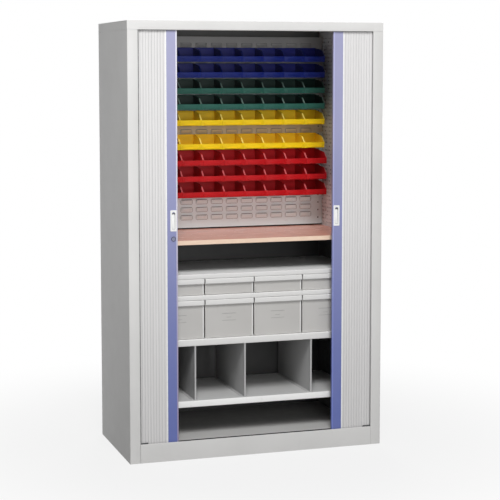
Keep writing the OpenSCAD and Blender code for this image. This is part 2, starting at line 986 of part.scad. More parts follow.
// Plate inside the right post that the hook catches behind
module strike_plate() {
  x = post_inner(1) + post_wall;
  v0 = post_v + post_wall;
  v1 = post_v + post_t - post_wall;
  color("silver") difference() {
    span([x, front_y(v0), lock_z - strike_h / 2], [x + strike_t, front_y(v1), lock_z + strike_h / 2]);
    span([x - join, front_y(hook_v) - hook_gap, lock_z - hook_slot_low],
      [x + strike_t + join, front_y(hook_v + hook_t) + hook_gap, lock_z + hook_w / 2 + hook_gap]);
  }
}

left_side_panel();
right_side_panel();
top_panel();
bottom_rail();
base_plinth();
back_panel();
floor_panel();
left_inner_wall();
right_inner_wall();
upper_track();
lower_track();
left_side_tracks();
right_side_tracks();
worktop();
worktop_angles();
short_drawer_shelf();
tall_drawer_shelf();
middle_shelf();
lower_shelf();
shelf_clips();
divider_left();
divider_middle();
divider_right();
short_drawer_runners();
tall_drawer_runners();
short_drawer_1();
short_drawer_2();
short_drawer_3();
short_drawer_4();
tall_drawer_1();
tall_drawer_2();
tall_drawer_3();
tall_drawer_4();
louvre_panel();
red_bins_1();
red_bins_2();
red_bins_3();
yellow_bins_1();
yellow_bins_2();
green_bins_1();
green_bins_2();
blue_bins_1();
blue_bins_2();
left_front_slats();
right_front_slats();
left_bend_slats();
right_bend_slats();
left_tail_slats();
right_tail_slats();
left_post();
right_post();
left_glides();
right_glides();
left_handle();
right_handle();
lock_rosette();
lock_barrel();
lock_hook();
strike_plate();
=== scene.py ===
import math

import bmesh
import bpy
from mathutils import Matrix, Vector


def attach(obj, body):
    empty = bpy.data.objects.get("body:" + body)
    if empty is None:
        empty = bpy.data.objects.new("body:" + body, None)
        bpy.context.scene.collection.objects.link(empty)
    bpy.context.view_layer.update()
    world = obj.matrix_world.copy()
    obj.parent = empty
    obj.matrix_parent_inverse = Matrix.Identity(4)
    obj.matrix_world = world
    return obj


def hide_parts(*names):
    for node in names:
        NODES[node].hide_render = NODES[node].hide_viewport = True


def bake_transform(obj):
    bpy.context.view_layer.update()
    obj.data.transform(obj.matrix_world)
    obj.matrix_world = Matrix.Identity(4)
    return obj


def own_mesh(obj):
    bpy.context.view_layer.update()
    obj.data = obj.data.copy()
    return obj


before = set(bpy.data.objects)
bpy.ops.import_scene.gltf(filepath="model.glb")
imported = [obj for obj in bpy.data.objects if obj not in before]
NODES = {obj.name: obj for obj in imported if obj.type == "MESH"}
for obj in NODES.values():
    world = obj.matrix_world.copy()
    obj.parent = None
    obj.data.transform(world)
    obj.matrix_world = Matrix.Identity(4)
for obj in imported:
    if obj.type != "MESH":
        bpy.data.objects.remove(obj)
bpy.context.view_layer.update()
scene = bpy.context.scene

# Sizes that the part's source has too, in millimetres

# Case: half its width and depth, its height, its sheet, and half its width inside
HALF_W, HALF_D, CASE_H, SHEET, INSIDE = 600.0, 290.0, 1960.0, 1.5, 505.7
# Inner edge of the stiles, lower edge of the top rail, upper edge of the bottom rail, and their folds
STILE_X, RAIL_LOW, RAIL_TOP = 552.0, 1920.0, 85.0
FOLD, LOW_FOLD = 5.0, 6.0
# Gap between pieces that sit on or in each other
SEAT_GAP = 0.3
# Depths behind the front: the shelves' front edges and the louvre panel
SHELF_V, LOUVRE_V = 62.0, 526.0
# Tops of the shelves, and the heights of their front edges
SHORT_SHELF_Z, TALL_SHELF_Z, MIDDLE_SHELF_Z, LOWER_SHELF_Z = 829.0, 732.0, 533.0, 253.0
THIN_EDGE, THICK_EDGE = 21.0, 30.0
# Drawers: half the width of the front and of the box, middle to middle, length and wall
FRONT_HALF, BOX_HALF, DRAWER_PITCH, DRAWER_L, DRAWER_T = 113.5, 103.5, 234.0, 424.0, 1.5
# Drawers: setback of the front, grip height, hanging flange, and runners below the shelf's edge
DRAWER_SET, GRIP_H, FLANGE, RUNNER_DROP = 12.0, 23.0, 8.0, 6.0
# Drawers: gap to the shelf under them, and gap to the shelf over them
UNDER_GAP, OVER_GAP = 2.0, 1.0
# Louvres: open edge of the lowest row, row to row, count of rows, and how far they stand out
LOUVRE_Z, LOUVRE_RISE, LOUVRE_ROWS, LOUVRE_OUT = 1049.0, 37.4, 23, 9.0
# Louvres: column to column, count of columns, half the width of one, and its height
LOUVRE_STEP, LOUVRE_COLUMNS, LOUVRE_HALF, LOUVRE_H = 75.8, 12, 28.0, 20.0
# Bins: middle to middle, height of the back, of the sides at the slope, and of the front lip
BIN_PITCH, BIN_H, BIN_SIDE, BIN_LIP = 103.0, 66.0, 52.0, 25.0
# Bins: how far the slope runs back, how far the lip leans out, and the wall
BIN_SLOPE, BIN_LEAN, BIN_WALL = 30.0, 4.0, 1.8
# Bins: upper edge of the back above the hook, and the hook's thickness and reach
HOOK_DROP, HOOK_T, HOOK_REACH = 13.0, 2.0, 8.3
# Slat to slat distance, and the depth of the slats' face behind the front
PITCH, SLAT_V = 13.0, 13.0
# Posts: width and depth of the face behind the front
POST_W, POST_V = 48.0, 11.5
# Handle: its middle from the post's leading edge, and its height
HANDLE_IN, HANDLE_Z = 19.0, 1081.0
# Side, name and count of slats between the stile and the post
DOORS = ((-1, "left", 10), (1, "right", 11))

# Sizes of the scene's own, in millimetres

# Radii inside the folds
BEND, WIDE_BEND = 1.2, 1.6
# Half the width of a moulded bin with its rim
BIN_HALF = 51.45
# Lower and upper end of the front slats, 0.1 inside those of the source
SLAT_LOW, SLAT_HIGH = 64.4, 1933.9
# Lower and upper end of the stored slats and the posts' strips, behind the rails
STRIP_LOW, STRIP_HIGH = 78.0, 1922.0
# Gap between two slats, and the shape of their crowned faces
SLAT_GAP, CROWN_POWER, CROWN_STEPS = 1.3, 3.2, 8
# Where the slats behind the corner begin, and the length of their run along the side
RUN_Y, RUN_L = -245.9, 402.6
# Distance of a closed post's leading edge from the middle
CLOSED_X = 1.0
# Millimetres in a metre
MM = 1000.0


def fy(v):
    """Depth behind the front as a Y position."""
    return v - HALF_D


def door_reach(slats):
    """Where a door's slats end beside its post, and how far the door travels to close."""
    outer = STILE_X - slats * PITCH
    return outer, outer - POST_W - CLOSED_X


# Camera: fitted to the corners of the case in the photograph

CAMERA_AT = (-2.075, -6.532, 1.752)
CAMERA_YAW, CAMERA_DIP = math.radians(18.05), math.radians(5.50)
SENSOR, LENS, SHIFT = 36, 105.8, -0.08


def make_camera():
    level = math.cos(CAMERA_DIP)
    forward = Vector((math.sin(CAMERA_YAW) * level, math.cos(CAMERA_YAW) * level, -math.sin(CAMERA_DIP)))
    right = Vector((math.cos(CAMERA_YAW), -math.sin(CAMERA_YAW), 0))
    up = right.cross(forward)
    data = bpy.data.cameras.new("camera")
    data.sensor_width, data.lens, data.shift_y = SENSOR, LENS, SHIFT
    data.clip_start, data.clip_end = 0.1, 200
    cam = bpy.data.objects.new("camera", data)
    rows = [(right[k], up[k], -forward[k], CAMERA_AT[k]) for k in range(3)]
    cam.matrix_world = Matrix(rows + [(0, 0, 0, 1)])
    scene.collection.objects.link(cam)
    scene.camera = cam


# Materials

class Graph:
    """A material's nodes, with short calls to add and join them."""

    def __init__(self, name):
        self.mat = bpy.data.materials.new(name)
        self.mat.use_nodes = True
        self.tree = self.mat.node_tree
        self.bsdf = self.tree.nodes["Principled BSDF"]
        self.coord = self.tree.nodes.new("ShaderNodeTexCoord").outputs["Object"]

    def node(self, kind, **settings):
        n = self.tree.nodes.new(kind)
        for key, value in settings.items():
            setattr(n, key, value)
        return n

    def join(self, out, socket):
        self.tree.links.new(out, socket)

    def put(self, socket, value):
        if isinstance(value, bpy.types.NodeSocket):
            self.join(value, socket)
        else:
            socket.default_value = value

    def stretched(self, scale):
        n = self.node("ShaderNodeMapping")
        self.join(self.coord, n.inputs["Vector"])
        n.inputs["Scale"].default_value = scale
        return n.outputs["Vector"]

    def noise(self, scale, detail=2.0, vector=None, rough=0.5):
        n = self.node("ShaderNodeTexNoise")
        self.join(vector or self.coord, n.inputs["Vector"])
        n.inputs["Scale"].default_value = scale
        n.inputs["Detail"].default_value = detail
        n.inputs["Roughness"].default_value = rough
        return n.outputs["Fac"]

    def span(self, value, a, b, c, d, smooth=False):
        """Map a value from the range a to b on to the range c to d."""
        n = self.node("ShaderNodeMapRange", interpolation_type="SMOOTHSTEP" if smooth else "LINEAR")
        self.put(n.inputs["Value"], value)
        for key, x in zip(("From Min", "From Max", "To Min", "To Max"), (a, b, c, d)):
            n.inputs[key].default_value = x
        return n.outputs["Result"]

    def math(self, op, a, b=0.0):
        n = self.node("ShaderNodeMath", operation=op)
        for socket, value in zip(n.inputs, (a, b)):
            self.put(socket, value)
        return n.outputs[0]

    def mix(self, fac, a, b):
        n = self.node("ShaderNodeMix", data_type="RGBA")
        self.put(n.inputs["Factor"], fac)
        for key, value in (("A", a), ("B", b)):
            socket = [s for s in n.inputs if s.name == key and s.type == "RGBA"][0]
            self.put(socket, value if isinstance(value, bpy.types.NodeSocket) else (*value, 1))
        return [s for s in n.outputs if s.type == "RGBA"][0]

    def apart(self, vector):
        """The X, Y and Z sockets of a vector."""
        n = self.node("ShaderNodeSeparateXYZ")
        self.join(vector, n.inputs[0])
        return n.outputs

    def axes(self):
        return self.apart(self.coord)

    def normal_axes(self):
        return self.apart(self.node("ShaderNodeNewGeometry").outputs["True Normal"])

    def bump(self, height, strength, distance=0.001):
        n = self.node("ShaderNodeBump")
        self.join(height, n.inputs["Height"])
        n.inputs["Strength"].default_value = strength
        n.inputs["Distance"].default_value = distance
        self.join(n.outputs["Normal"], self.bsdf.inputs["Normal"])

    def orange_peel(self):
        """The fine unevenness of powder coat."""
        self.bump(self.noise(520, 2), 0.09, 0.0006)

    def mould_grain(self):
        """The fine unevenness of moulded plastic."""
        self.bump(self.noise(700, 1), 0.05, 0.0004)

    def gloss(self, low, high):
        """Roughness that varies over a painted sheet."""
        return self.span(self.noise(24, 3), 0.25, 0.75, low, high)

    def finish(self, color, rough, metallic=0.0):
        self.put(self.bsdf.inputs["Base Color"], color)
        self.put(self.bsdf.inputs["Roughness"], rough)
        self.bsdf.inputs["Metallic"].default_value = metallic
        return self.mat


def shade(color, k):
    return tuple(min(1.0, x * k) for x in color)


def painted(name, color, rough=0.42, low=0.0):
    """Powder-coated sheet steel: fine orange peel, faint marks, and painted shade towards the foot and on
    the faces that look sideways.
    """
    g = Graph(name)
    broad = g.noise(3.1, 3)
    marks = g.noise(38, 4, g.stretched((1, 1, 0.25)))
    tone = g.mix(g.span(broad, 0.3, 0.7, 0, 1), shade(color, 0.95), shade(color, 1.03))
    tone = g.mix(g.span(marks, 0.62, 0.8, 0, 0.22), tone, shade(color, 0.8))
    if low:
        # Painted shade, by a strength of low: darker towards the foot, and more so on faces that look
        # sideways
        z, across = g.axes()[2], g.math("ABSOLUTE", g.normal_axes()[0])
        painted_foot_shade = g.math("MULTIPLY", across, g.span(z, 0, 1.7, 1.5 * low, 0, True))
        painted_foot_shade = g.math("ADD", painted_foot_shade, g.span(z, 0, 1.2, low, 0, True))
        tone = g.mix(painted_foot_shade, tone, shade(color, 0.2))
    g.orange_peel()
    return g.finish(tone, g.gloss(rough - 0.02, rough + 0.05))


def moulded(name, color, rough=0.34, spread=0.07):
    """Injection-moulded plastic: even colour, faint flow marks and scuffs."""
    g = Graph(name)
    flow = g.noise(11, 3, g.stretched((1, 1, 3)))
    tone = g.mix(g.span(flow, 0.3, 0.7, 0, 1), shade(color, 1 - spread), shade(color, 1 + spread))
    scuffs = g.noise(160, 3, g.stretched((0.2, 1, 1)))
    tone = g.mix(g.span(scuffs, 0.66, 0.85, 0, 0.3), tone, shade(color, 1.35))
    g.mould_grain()
    return g.finish(tone, g.span(scuffs, 0.35, 0.75, rough - 0.06, rough + 0.12))


def slat_plastic():
    """Extruded slats: fine streaks along their length, each slat a little different, and painted shade
    towards the foot.
    """
    g = Graph("slat_plastic")
    x, _, z = g.axes()
    own = g.node("ShaderNodeTexWhiteNoise", noise_dimensions="1D")
    g.join(g.math("FLOOR", g.math("DIVIDE", x, PITCH / MM)), own.inputs["W"])
    streak = g.noise(60, 3, g.stretched((6, 6, 0.05)))
    base = (0.71, 0.70, 0.70)
    tone = g.mix(g.span(streak, 0.3, 0.7, 0, 1), shade(base, 0.94), shade(base, 1.05))
    tone = g.mix(g.span(own.outputs["Value"], 0, 1, 0, 0.4), tone, shade(base, 0.90))
    # Painted shade: darker towards the foot
    tone = g.mix(g.span(z, 0, 1.5, 0.2, 0, True), tone, shade(base, 0.2))
    g.bump(streak, 0.12, 0.0005)
    return g.finish(tone, g.span(g.noise(18, 2), 0.3, 0.7, 0.36, 0.5))


def post_paint(name, foot, head):
    """Satin lavender profile, with painted shade that deepens its colour from the head down to its foot.
    """
    g = Graph(name)
    z = g.axes()[2]
    # Painted shade: from the foot colour at the bottom to the paler head colour at the top
    tone = g.mix(g.span(z, 0.1, 1.9, 0, 1, True), foot, head)
    worn = [0.43 * (a + b) for a, b in zip(foot, head)]
    tone = g.mix(g.span(g.noise(5, 3), 0.35, 0.7, 0, 0.16), tone, worn)
    g.bump(g.noise(480, 2), 0.08, 0.0005)
    return g.finish(tone, g.span(g.noise(20, 3), 0.3, 0.7, 0.3, 0.42))


def plywood():
    """Pinkish sealed face with grain along the front, a pale layered edge, and painted shade on the
    underside.
    """
    g = Graph("plywood")
    z, nz = g.axes()[2], g.normal_axes()[2]
    grain = g.noise(7, 5, g.stretched((1.2, 16, 3)), 0.6)
    fine = g.noise(70, 4, g.stretched((0.5, 12, 2)))
    face = g.mix(g.span(grain, 0.3, 0.72, 0, 1), (0.77, 0.352, 0.254), (0.865, 0.452, 0.345))
    face = g.mix(g.span(fine, 0.5, 0.8, 0, 0.3), face, (0.60, 0.27, 0.197))
    layer = g.math("PINGPONG", g.math("MULTIPLY", z, MM), 2.2)
    edge = g.mix(g.span(layer, 0.6, 1.6, 0, 1), (0.86, 0.67, 0.51), (0.76, 0.54, 0.41))
    edge = g.mix(g.span(fine, 0.45, 0.8, 0, 0.4), edge, (0.92, 0.76, 0.60))
    tone = g.mix(g.span(nz, 0.4, 0.6, 0, 1), edge, face)
    # Painted shade: a dark grey underside
    tone = g.mix(g.span(nz, -0.6, -0.4, 1, 0), tone, (0.09, 0.088, 0.085))
    g.bump(fine, 0.05, 0.0004)
    return g.finish(tone, g.span(grain, 0.3, 0.7, 0.18, 0.28))


def bare_metal(name, color, rough=0.34):
    """Plated or drawn metal with brushed streaks."""
    g = Graph(name)
    brush = g.noise(260, 3, g.stretched((1, 0.06, 1)))
    tone = g.mix(g.span(brush, 0.3, 0.7, 0, 1), shade(color, 0.85), shade(color, 1.1))
    g.bump(brush, 0.05, 0.0003)
    return g.finish(tone, g.span(g.noise(40, 3), 0.3, 0.7, rough - 0.08, rough + 0.1), 1.0)


def wall_paint():
    """Inner walls: rows of small punched holes beside the bins, drawn as dots of painted shade, and
    painted shade below the worktop.
    """
    g = Graph("wall_paint")
    _, y, z = g.axes()
    base = (0.80, 0.82, 0.83)
    spacing = 0.0187

    def off_middle(axis):
        cell = g.math("SUBTRACT", g.math("FRACT", g.math("DIVIDE", axis, spacing)), 0.5)
        return g.math("MULTIPLY", cell, cell)

    # Punched holes: dark dots of painted shade where the space behind shows
    hole = g.span(g.math("ADD", off_middle(y), off_middle(z)), 0.04, 0.06, 1, 0)
    hole = g.math("MULTIPLY", hole, g.math("GREATER_THAN", z, 1.0))
    hole = g.math("MULTIPLY", hole, g.math("LESS_THAN", z, 1.9))
    hole = g.math("MULTIPLY", hole, g.span(g.noise(55, 2), 0.4, 0.6, 0.1, 1))
    tone = g.mix(g.span(g.noise(4, 3), 0.3, 0.7, 0, 1), shade(base, 0.95), shade(base, 1.04))
    # Painted shade below the worktop
    tone = g.mix(g.span(z, 0.955, 0.985, 1, 0), tone, (0.10, 0.10, 0.10))
    tone = g.mix(hole, tone, (0.03, 0.03, 0.03))
    g.bump(g.math("SUBTRACT", g.math("MULTIPLY", g.noise(520, 2), 0.1), hole), 0.35, 0.0008)
    return g.finish(tone, 0.48)


def back_paint():
    """Back panel: case grey outside, and painted shade on the face inside, dark grey and a little lighter
    at the very top.
    """
    g = Graph("back_paint")
    z, ny = g.axes()[2], g.normal_axes()[1]
    outside = g.mix(g.span(g.noise(3, 3), 0.3, 0.7, 0, 1), (0.58, 0.58, 0.57), (0.64, 0.64, 0.63))
    # Painted shade on the inside face, a little lighter at the very top
    inside = g.mix(g.span(g.noise(5, 3), 0.3, 0.7, 0, 1), (0.020, 0.020, 0.020), (0.030, 0.029, 0.029))
    inside = g.mix(g.span(z, 1.88, 1.9, 0, 1), inside, (0.10, 0.10, 0.098))
    tone = g.mix(g.span(ny, -0.6, -0.4, 1, 0), outside, inside)
    g.orange_peel()
    return g.finish(tone, g.gloss(0.38, 0.55))


def shelf_paint(name, edge, top):
    """Shelves: one grey on the edges and another on top, the difference between them painted light and
    shade, with faint marks on top.
    """
    g = Graph(name)
    nz = g.normal_axes()[2]
    # Painted light and shade: the top lighter than the edges on most shelves, darker on the lowest
    tone = g.mix(g.span(nz, 0.5, 0.8, 0, 1), edge, top)
    tone = g.mix(g.span(g.noise(3.1, 3), 0.3, 0.7, 0, 0.12), tone, shade(top, 0.7))
    tone = g.mix(g.span(g.noise(38, 4), 0.62, 0.8, 0, 0.2), tone, shade(top, 0.62))
    g.orange_peel()
    return g.finish(tone, g.gloss(0.37, 0.54))


def louvre_paint():
    """Louvre sheet: painted shade, pale at the worktop and darker towards the top, and a painted
    reflection of the yellow bins between the yellow rows.
    """
    g = Graph("louvre_paint")
    z = g.axes()[2]
    # Painted shade: darker towards the top, where the top rail and the bins shade the sheet
    fall = g.span(z, 1.15, 1.8, 0, 1, True)
    tone = g.mix(fall, (0.76, 0.88, 0.89), (0.32, 0.32, 0.32))
    # Painted reflection of the yellow bins, in the band between the yellow rows
    between = g.math("MULTIPLY", g.span(z, 1.435, 1.445, 0, 1), g.span(z, 1.48, 1.49, 1, 0))
    tone = g.mix(g.math("MULTIPLY", between, 0.6), tone, (0.62, 0.42, 0.16))
    tone = g.mix(g.span(g.noise(38, 4), 0.6, 0.8, 0, 0.25), tone, (0.34, 0.34, 0.33))
    g.orange_peel()
    return g.finish(tone, g.gloss(0.41, 0.58))


def floor_paint():
    """Floor panel: shelf grey, with painted shade towards the back and on the face behind the bottom rail.
    """
    g = Graph("floor_paint")
    y, ny = g.axes()[1], g.normal_axes()[1]
    base = (0.57, 0.565, 0.555)
    tone = g.mix(g.span(g.noise(3.1, 3), 0.3, 0.7, 0, 1), shade(base, 0.95), shade(base, 1.03))
    tone = g.mix(g.span(g.noise(38, 4), 0.62, 0.8, 0, 0.2), tone, shade(base, 0.8))
    # Painted shade: darker towards the back
    tone = g.mix(g.span(y, -0.17, 0.0, 0, 0.7, True), tone, (0.05, 0.05, 0.05))
    # Painted shade: the face behind the bottom rail nearly black
    tone = g.mix(g.span(ny, -0.7, -0.5, 1, 0), tone, (0.02, 0.02, 0.02))
    g.orange_peel()
    return g.finish(tone, g.gloss(0.4, 0.56))


def recess_plastic():
    """Handle recess: plastic painted mid grey as shade, and darker painted shade under the arch where the
    fingers go in.
    """
    g = Graph("recess_plastic")
    z = g.axes()[2]
    # Painted shade: dark under the arch
    arch = g.span(z, (HANDLE_Z + 24) / MM, (HANDLE_Z + 30) / MM, 0, 1, True)
    tone = g.mix(arch, (0.50, 0.50, 0.51), (0.13, 0.13, 0.14))
    tone = g.mix(g.span(g.noise(160, 3), 0.6, 0.85, 0, 0.3), tone, (0.62, 0.62, 0.62))
    g.mould_grain()
    return g.finish(tone, g.span(g.noise(60, 2), 0.3, 0.7, 0.36, 0.5))


def bin_plastics(name, body, edge, inside):
    """Materials of one colour of bin: outside, the slope of its rim in painted light, and its inside in
    painted light and shade.
    """
    parts = (("_plastic", body), ("_edge", edge), ("_inside", inside))
    mats = [moulded(name + part, color) for part, color in parts]
    for m in mats:
        m.node_tree.nodes["Principled BSDF"].inputs["Specular IOR Level"].default_value = 0.2
    return mats


# low=0.16: painted shade towards the foot and on the sides of the case
PAINT = painted("case_paint", (0.66, 0.655, 0.645), low=0.16)
# Shelf tops paler than their edges, and the lowest shelf's top darker than its edge, as painted light and
# shade
SHELF = shelf_paint("shelf_paint", (0.665, 0.66, 0.65), (0.92, 0.915, 0.905))
LOW_SHELF = shelf_paint("low_shelf_paint", (0.84, 0.84, 0.83), (0.59, 0.59, 0.585))
# Dividers darker than the case grey as painted shade in the compartments
DIVIDER = painted("divider_paint", (0.43, 0.43, 0.43), 0.46)
DRAWER = painted("drawer_paint", (0.475, 0.465, 0.45), 0.46)
MARK = painted("frame_paint", (0.33, 0.325, 0.32), 0.46)
LOUVRE = louvre_paint()
# Painted shadow line: the dark ring round each louvre
LOUVRE_SHADOW_LINE = painted("louvre_shadow_line_paint", (0.30, 0.295, 0.285), 0.5)
SLAT = slat_plastic()
# Post: foot and head colours of its painted shade
POST = post_paint("post_paint", (0.098, 0.129, 0.36), (0.35, 0.352, 0.525))
# Lips: paler copies of the post's colour as a painted highlight on its edge, the left one paler than the
# right one as painted light
LIP = {
    "left": post_paint("left_lip_paint", (0.27, 0.235, 0.38), (0.78, 0.78, 0.86)),
    "right": post_paint("right_lip_paint", (0.132, 0.174, 0.486), (0.47, 0.475, 0.71)),
}
WOOD = plywood()
WALL = wall_paint()
BACK = back_paint()
FLOOR = floor_paint()
WHITE = moulded("white_plastic", (0.84, 0.84, 0.83), 0.3, 0.03)
TRACK = moulded("track_plastic", (0.07, 0.07, 0.072), 0.45, 0.06)
# Painted shade: dark strips in the gaps round the curtains
SHADOW_STRIP = moulded("shadow_strip_plastic", (0.20, 0.20, 0.20), 0.7, 0.2)
RECESS = recess_plastic()
ROSETTE = moulded("rosette_plastic", (0.045, 0.046, 0.10), 0.45, 0.1)
DARK = moulded("dark_plastic", (0.035, 0.036, 0.04), 0.45, 0.1)
ZINC = bare_metal("zinc_plate", (0.62, 0.62, 0.63))
CHROME = bare_metal("lock_plate", (0.24, 0.25, 0.34), 0.24)
# Bins: body, rim slope, inside; the rim slope is a painted highlight, darker on blue as painted shade; the
# inside is painted shade on green and blue, painted light on red and yellow
BIN = {
    "red": bin_plastics("red", (0.50, 0.010, 0.014), (0.62, 0.13, 0.14), (0.56, 0.011, 0.017)),
    "yellow": bin_plastics("yellow", (0.90, 0.63, 0.012), (0.96, 0.76, 0.18), (0.93, 0.64, 0.024)),
    "green": bin_plastics("green", (0.034, 0.145, 0.112), (0.22, 0.32, 0.28), (0.006, 0.025, 0.019)),
    "blue": bin_plastics("blue", (0.014, 0.030, 0.25), (0.014, 0.026, 0.18), (0.014, 0.018, 0.18)),
}


# Mesh helpers, in millimetres

def band(points, loops, closed=False):
    """Faces between rings of points, which are listed one ring after another."""
    def at(i, j):
        return (i % loops) * points + j % points
    return [[at(i, j), at(i, j + 1), at(i + 1, j + 1), at(i + 1, j)]
            for i in range(loops if closed else loops - 1) for j in range(points)]


def circle(x, y, z, radius, count):
    """Points of a circle in an upright plane across the depth."""
    turns = [2 * math.pi * j / count for j in range(count)]
    return [(x + radius * math.cos(a), y, z + radius * math.sin(a)) for a in turns]


class Shape:
    """Vertices and faces gathered in millimetres, then made into one piece."""

    def __init__(self):
        self.verts, self.faces, self.slots = [], [], []

    def add(self, verts, faces, slot=0):
        base = len(self.verts)
        self.verts += [tuple(v) for v in verts]
        self.faces += [[i + base for i in f] for f in faces]
        self.slots += [slot] * len(faces)

    def prism(self, outline, axis, lo, hi, slot=0):
        """Closed outline drawn in the plane across an axis, and drawn out along it."""
        def at(p, h):
            return {"x": (h, p[0], p[1]), "y": (p[0], h, p[1]), "z": (p[0], p[1], h)}[axis]
        n = len(outline)
        verts = [at(p, lo) for p in outline] + [at(p, hi) for p in outline]
        self.add(verts, band(n, 2) + [list(range(n))[::-1], list(range(n, 2 * n))], slot)

    def block(self, lo, hi, radius, slot=0):
        """Box with rounded edges."""
        bm = bmesh.new()
        bmesh.ops.create_cube(bm, size=1)
        for v in bm.verts:
            v.co = Vector([a + (c + 0.5) * (b - a) for a, b, c in zip(lo, hi, v.co)])
        bmesh.ops.bevel(bm, geom=list(bm.edges), offset=radius, segments=2, profile=0.5, affect="EDGES")
        bm.verts.index_update()
        self.add([v.co[:] for v in bm.verts], [[v.index for v in f.verts] for f in bm.faces], slot)
        bm.free()

    def copies(self, other, places):
        for p in places:
            base = len(self.verts)
            self.verts += [(x + p[0], y + p[1], z + p[2]) for x, y, z in other.verts]
            self.faces += [[i + base for i in f] for f in other.faces]
            self.slots += other.slots

    def on(self, side):
        """The shape itself for the right side, or its mirror image for the left one."""
        if side > 0:
            return self
        out = Shape()
        out.verts = [(-x, y, z) for x, y, z in self.verts]
        out.faces = [f[::-1] for f in self.faces]
        out.slots = list(self.slots)
        return out

    def mesh(self, name, mats, smooth=35):
        """Mesh in metres, with shading that breaks at edges sharper than an angle in degrees."""
        me = bpy.data.meshes.new(name)
        me.from_pydata([(x / MM, y / MM, z / MM) for x, y, z in self.verts], [], self.faces)
        for m in mats:
            me.materials.append(m)
        me.polygons.foreach_set("material_index", self.slots)
        bm = bmesh.new()
        bm.from_mesh(me)
        bmesh.ops.recalc_face_normals(bm, faces=bm.faces)
        for f in bm.faces:
            f.smooth = True
        for e in bm.edges:
            e.smooth = len(e.link_faces) == 2 and e.calc_face_angle(0) < math.radians(smooth)
        bm.to_mesh(me)
        bm.free()
        return me

    def piece(self, name, mats, body, replaced=(), slot=None, smooth=35):
        place(name, self.mesh(name, mats, smooth), body, replaced)


def place(name, mesh, body, replaced=(), at=(0, 0, 0)):
    """Object on a body, in the place of the nodes that it replaces."""
    o = bpy.data.objects.new(name, mesh)
    scene.collection.objects.link(o)
    o.location = [c / MM for c in at]
    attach(o, body)
    if replaced:
        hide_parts(*replaced)
    return o


def arc_corner(a, p, b, r, n):
    """Points that round the corner a-p-b with a radius."""
    a, p, b = Vector(a), Vector(p), Vector(b)
    u, w = (a - p).normalized(), (b - p).normalized()
    half = u.angle(w) / 2
    if r <= 0 or half > math.pi / 2 - 1e-4:
        return [tuple(p)]
    d = min(r / math.tan(half), (a - p).length * 0.49, (b - p).length * 0.49)
    r = d * math.tan(half)
    centre = p + (u + w).normalized() * (r / math.sin(half))
    s, e = p + u * d - centre, p + w * d - centre
    turn = s.angle(e)
    out = []
    for k in range(n + 1):
        t = k / n
        q = (math.sin((1 - t) * turn) * s + math.sin(t * turn) * e) / math.sin(turn)
        out.append(tuple(centre + q))
    return out


def rounded(points, r, n=4):
    """Closed outline with its corners rounded by one radius, or by one for each corner."""
    radii = r if isinstance(r, (list, tuple)) else [r] * len(points)
    out = []
    for k, p in enumerate(points):
        out += arc_corner(points[k - 1], p, points[(k + 1) % len(points)], radii[k], n)
    return out


def folded(path, thick, radius, n=4):
    """Outline of a sheet folded along a path of its outer face.

    A positive thickness lies to the left of the path.
    """
    pts = [Vector(p) for p in path]

    def left(a, b):
        d = (b - a).normalized()
        return Vector((-d.y, d.x))

    inner = []
    for k, p in enumerate(pts):
        if k == 0:
            inner.append(p + left(p, pts[1]) * thick)
        elif k == len(pts) - 1:
            inner.append(p + left(pts[-2], p) * thick)
        else:
            m, q = left(pts[k - 1], p), left(p, pts[k + 1])
            inner.append(p + (m + q) * (thick / (1 + m.dot(q))))

    def soft(line):
        out = [tuple(line[0])]
        for k in range(1, len(line) - 1):
            a, p, b = line[k - 1], line[k], line[k + 1]
            turn = (p - a).x * (b - p).y - (p - a).y * (b - p).x
            inside = (turn > 0) == (thick > 0)
            tight = line is inner and inside or line is pts and not inside
            out += arc_corner(a, p, b, radius if tight else radius + abs(thick), n)
        return out + [tuple(line[-1])]

    return soft(pts) + soft(inner)[::-1]


def finish_cad(node, mat, soften):
    """Better material, and edges softened by a radius, on a CAD node that stays."""
    o = NODES[node]
    if not o.material_slots:
        o.data.materials.append(mat)
    for s in o.material_slots:
        s.material = mat
    if soften:
        weld = o.modifiers.new("weld", "WELD")
        weld.merge_threshold = 0.00002
        bevel = o.modifiers.new("bevel", "BEVEL")
        bevel.width, bevel.segments = soften / MM, 2
        bevel.limit_method, bevel.angle_limit = "ANGLE", math.radians(40)


# Case

def make_sides():
    """Side panels with their stiles, which stop below the top rail."""
    back_turn, rail_gap, cover_gap = 25, 0.5, 0.3
    back = [(HALF_W - back_turn, HALF_D), (HALF_W, HALF_D)]
    stile = back + [(HALF_W, -HALF_D), (STILE_X, -HALF_D), (STILE_X, fy(FOLD))]
    upper = back + [(HALF_W, fy(SHEET))]
    s = Shape()
    s.prism(folded(stile, -SHEET, BEND), "z", 0, RAIL_LOW)
    s.prism(folded(upper, -SHEET, WIDE_BEND), "z", RAIL_LOW + rail_gap, CASE_H - SHEET - cover_gap)
    for side, name in ((1, "right"), (-1, "left")):
        s.on(side).piece(f"case_{name}_side", [PAINT], "case", [name + "_side_panel"], "case_grey")


def make_top():
    """Top panel with its front rail, which has no fold over the stiles."""
    lap, rail_gap, rail_back = 1, 0.5, fy(40)
    middle = [(HALF_D, CASE_H), (-HALF_D, CASE_H), (-HALF_D, RAIL_LOW), (fy(FOLD), RAIL_LOW)]
    rail = [(rail_back, CASE_H), (-HALF_D, CASE_H), (-HALF_D, RAIL_LOW + rail_gap)]
    cover = [(HALF_D, CASE_H), (rail_back, CASE_H)]
    s = Shape()
    s.prism(folded(middle, SHEET, BEND), "x", -STILE_X + lap, STILE_X - lap)
    for a, b in ((-HALF_W, -STILE_X + lap), (STILE_X - lap, HALF_W)):
        s.prism(folded(rail, SHEET, WIDE_BEND), "x", a, b)
        s.prism(folded(cover, SHEET, 0), "x", a, b)
    s.piece("case_top", [PAINT], "case", ["top_panel"], "case_grey")


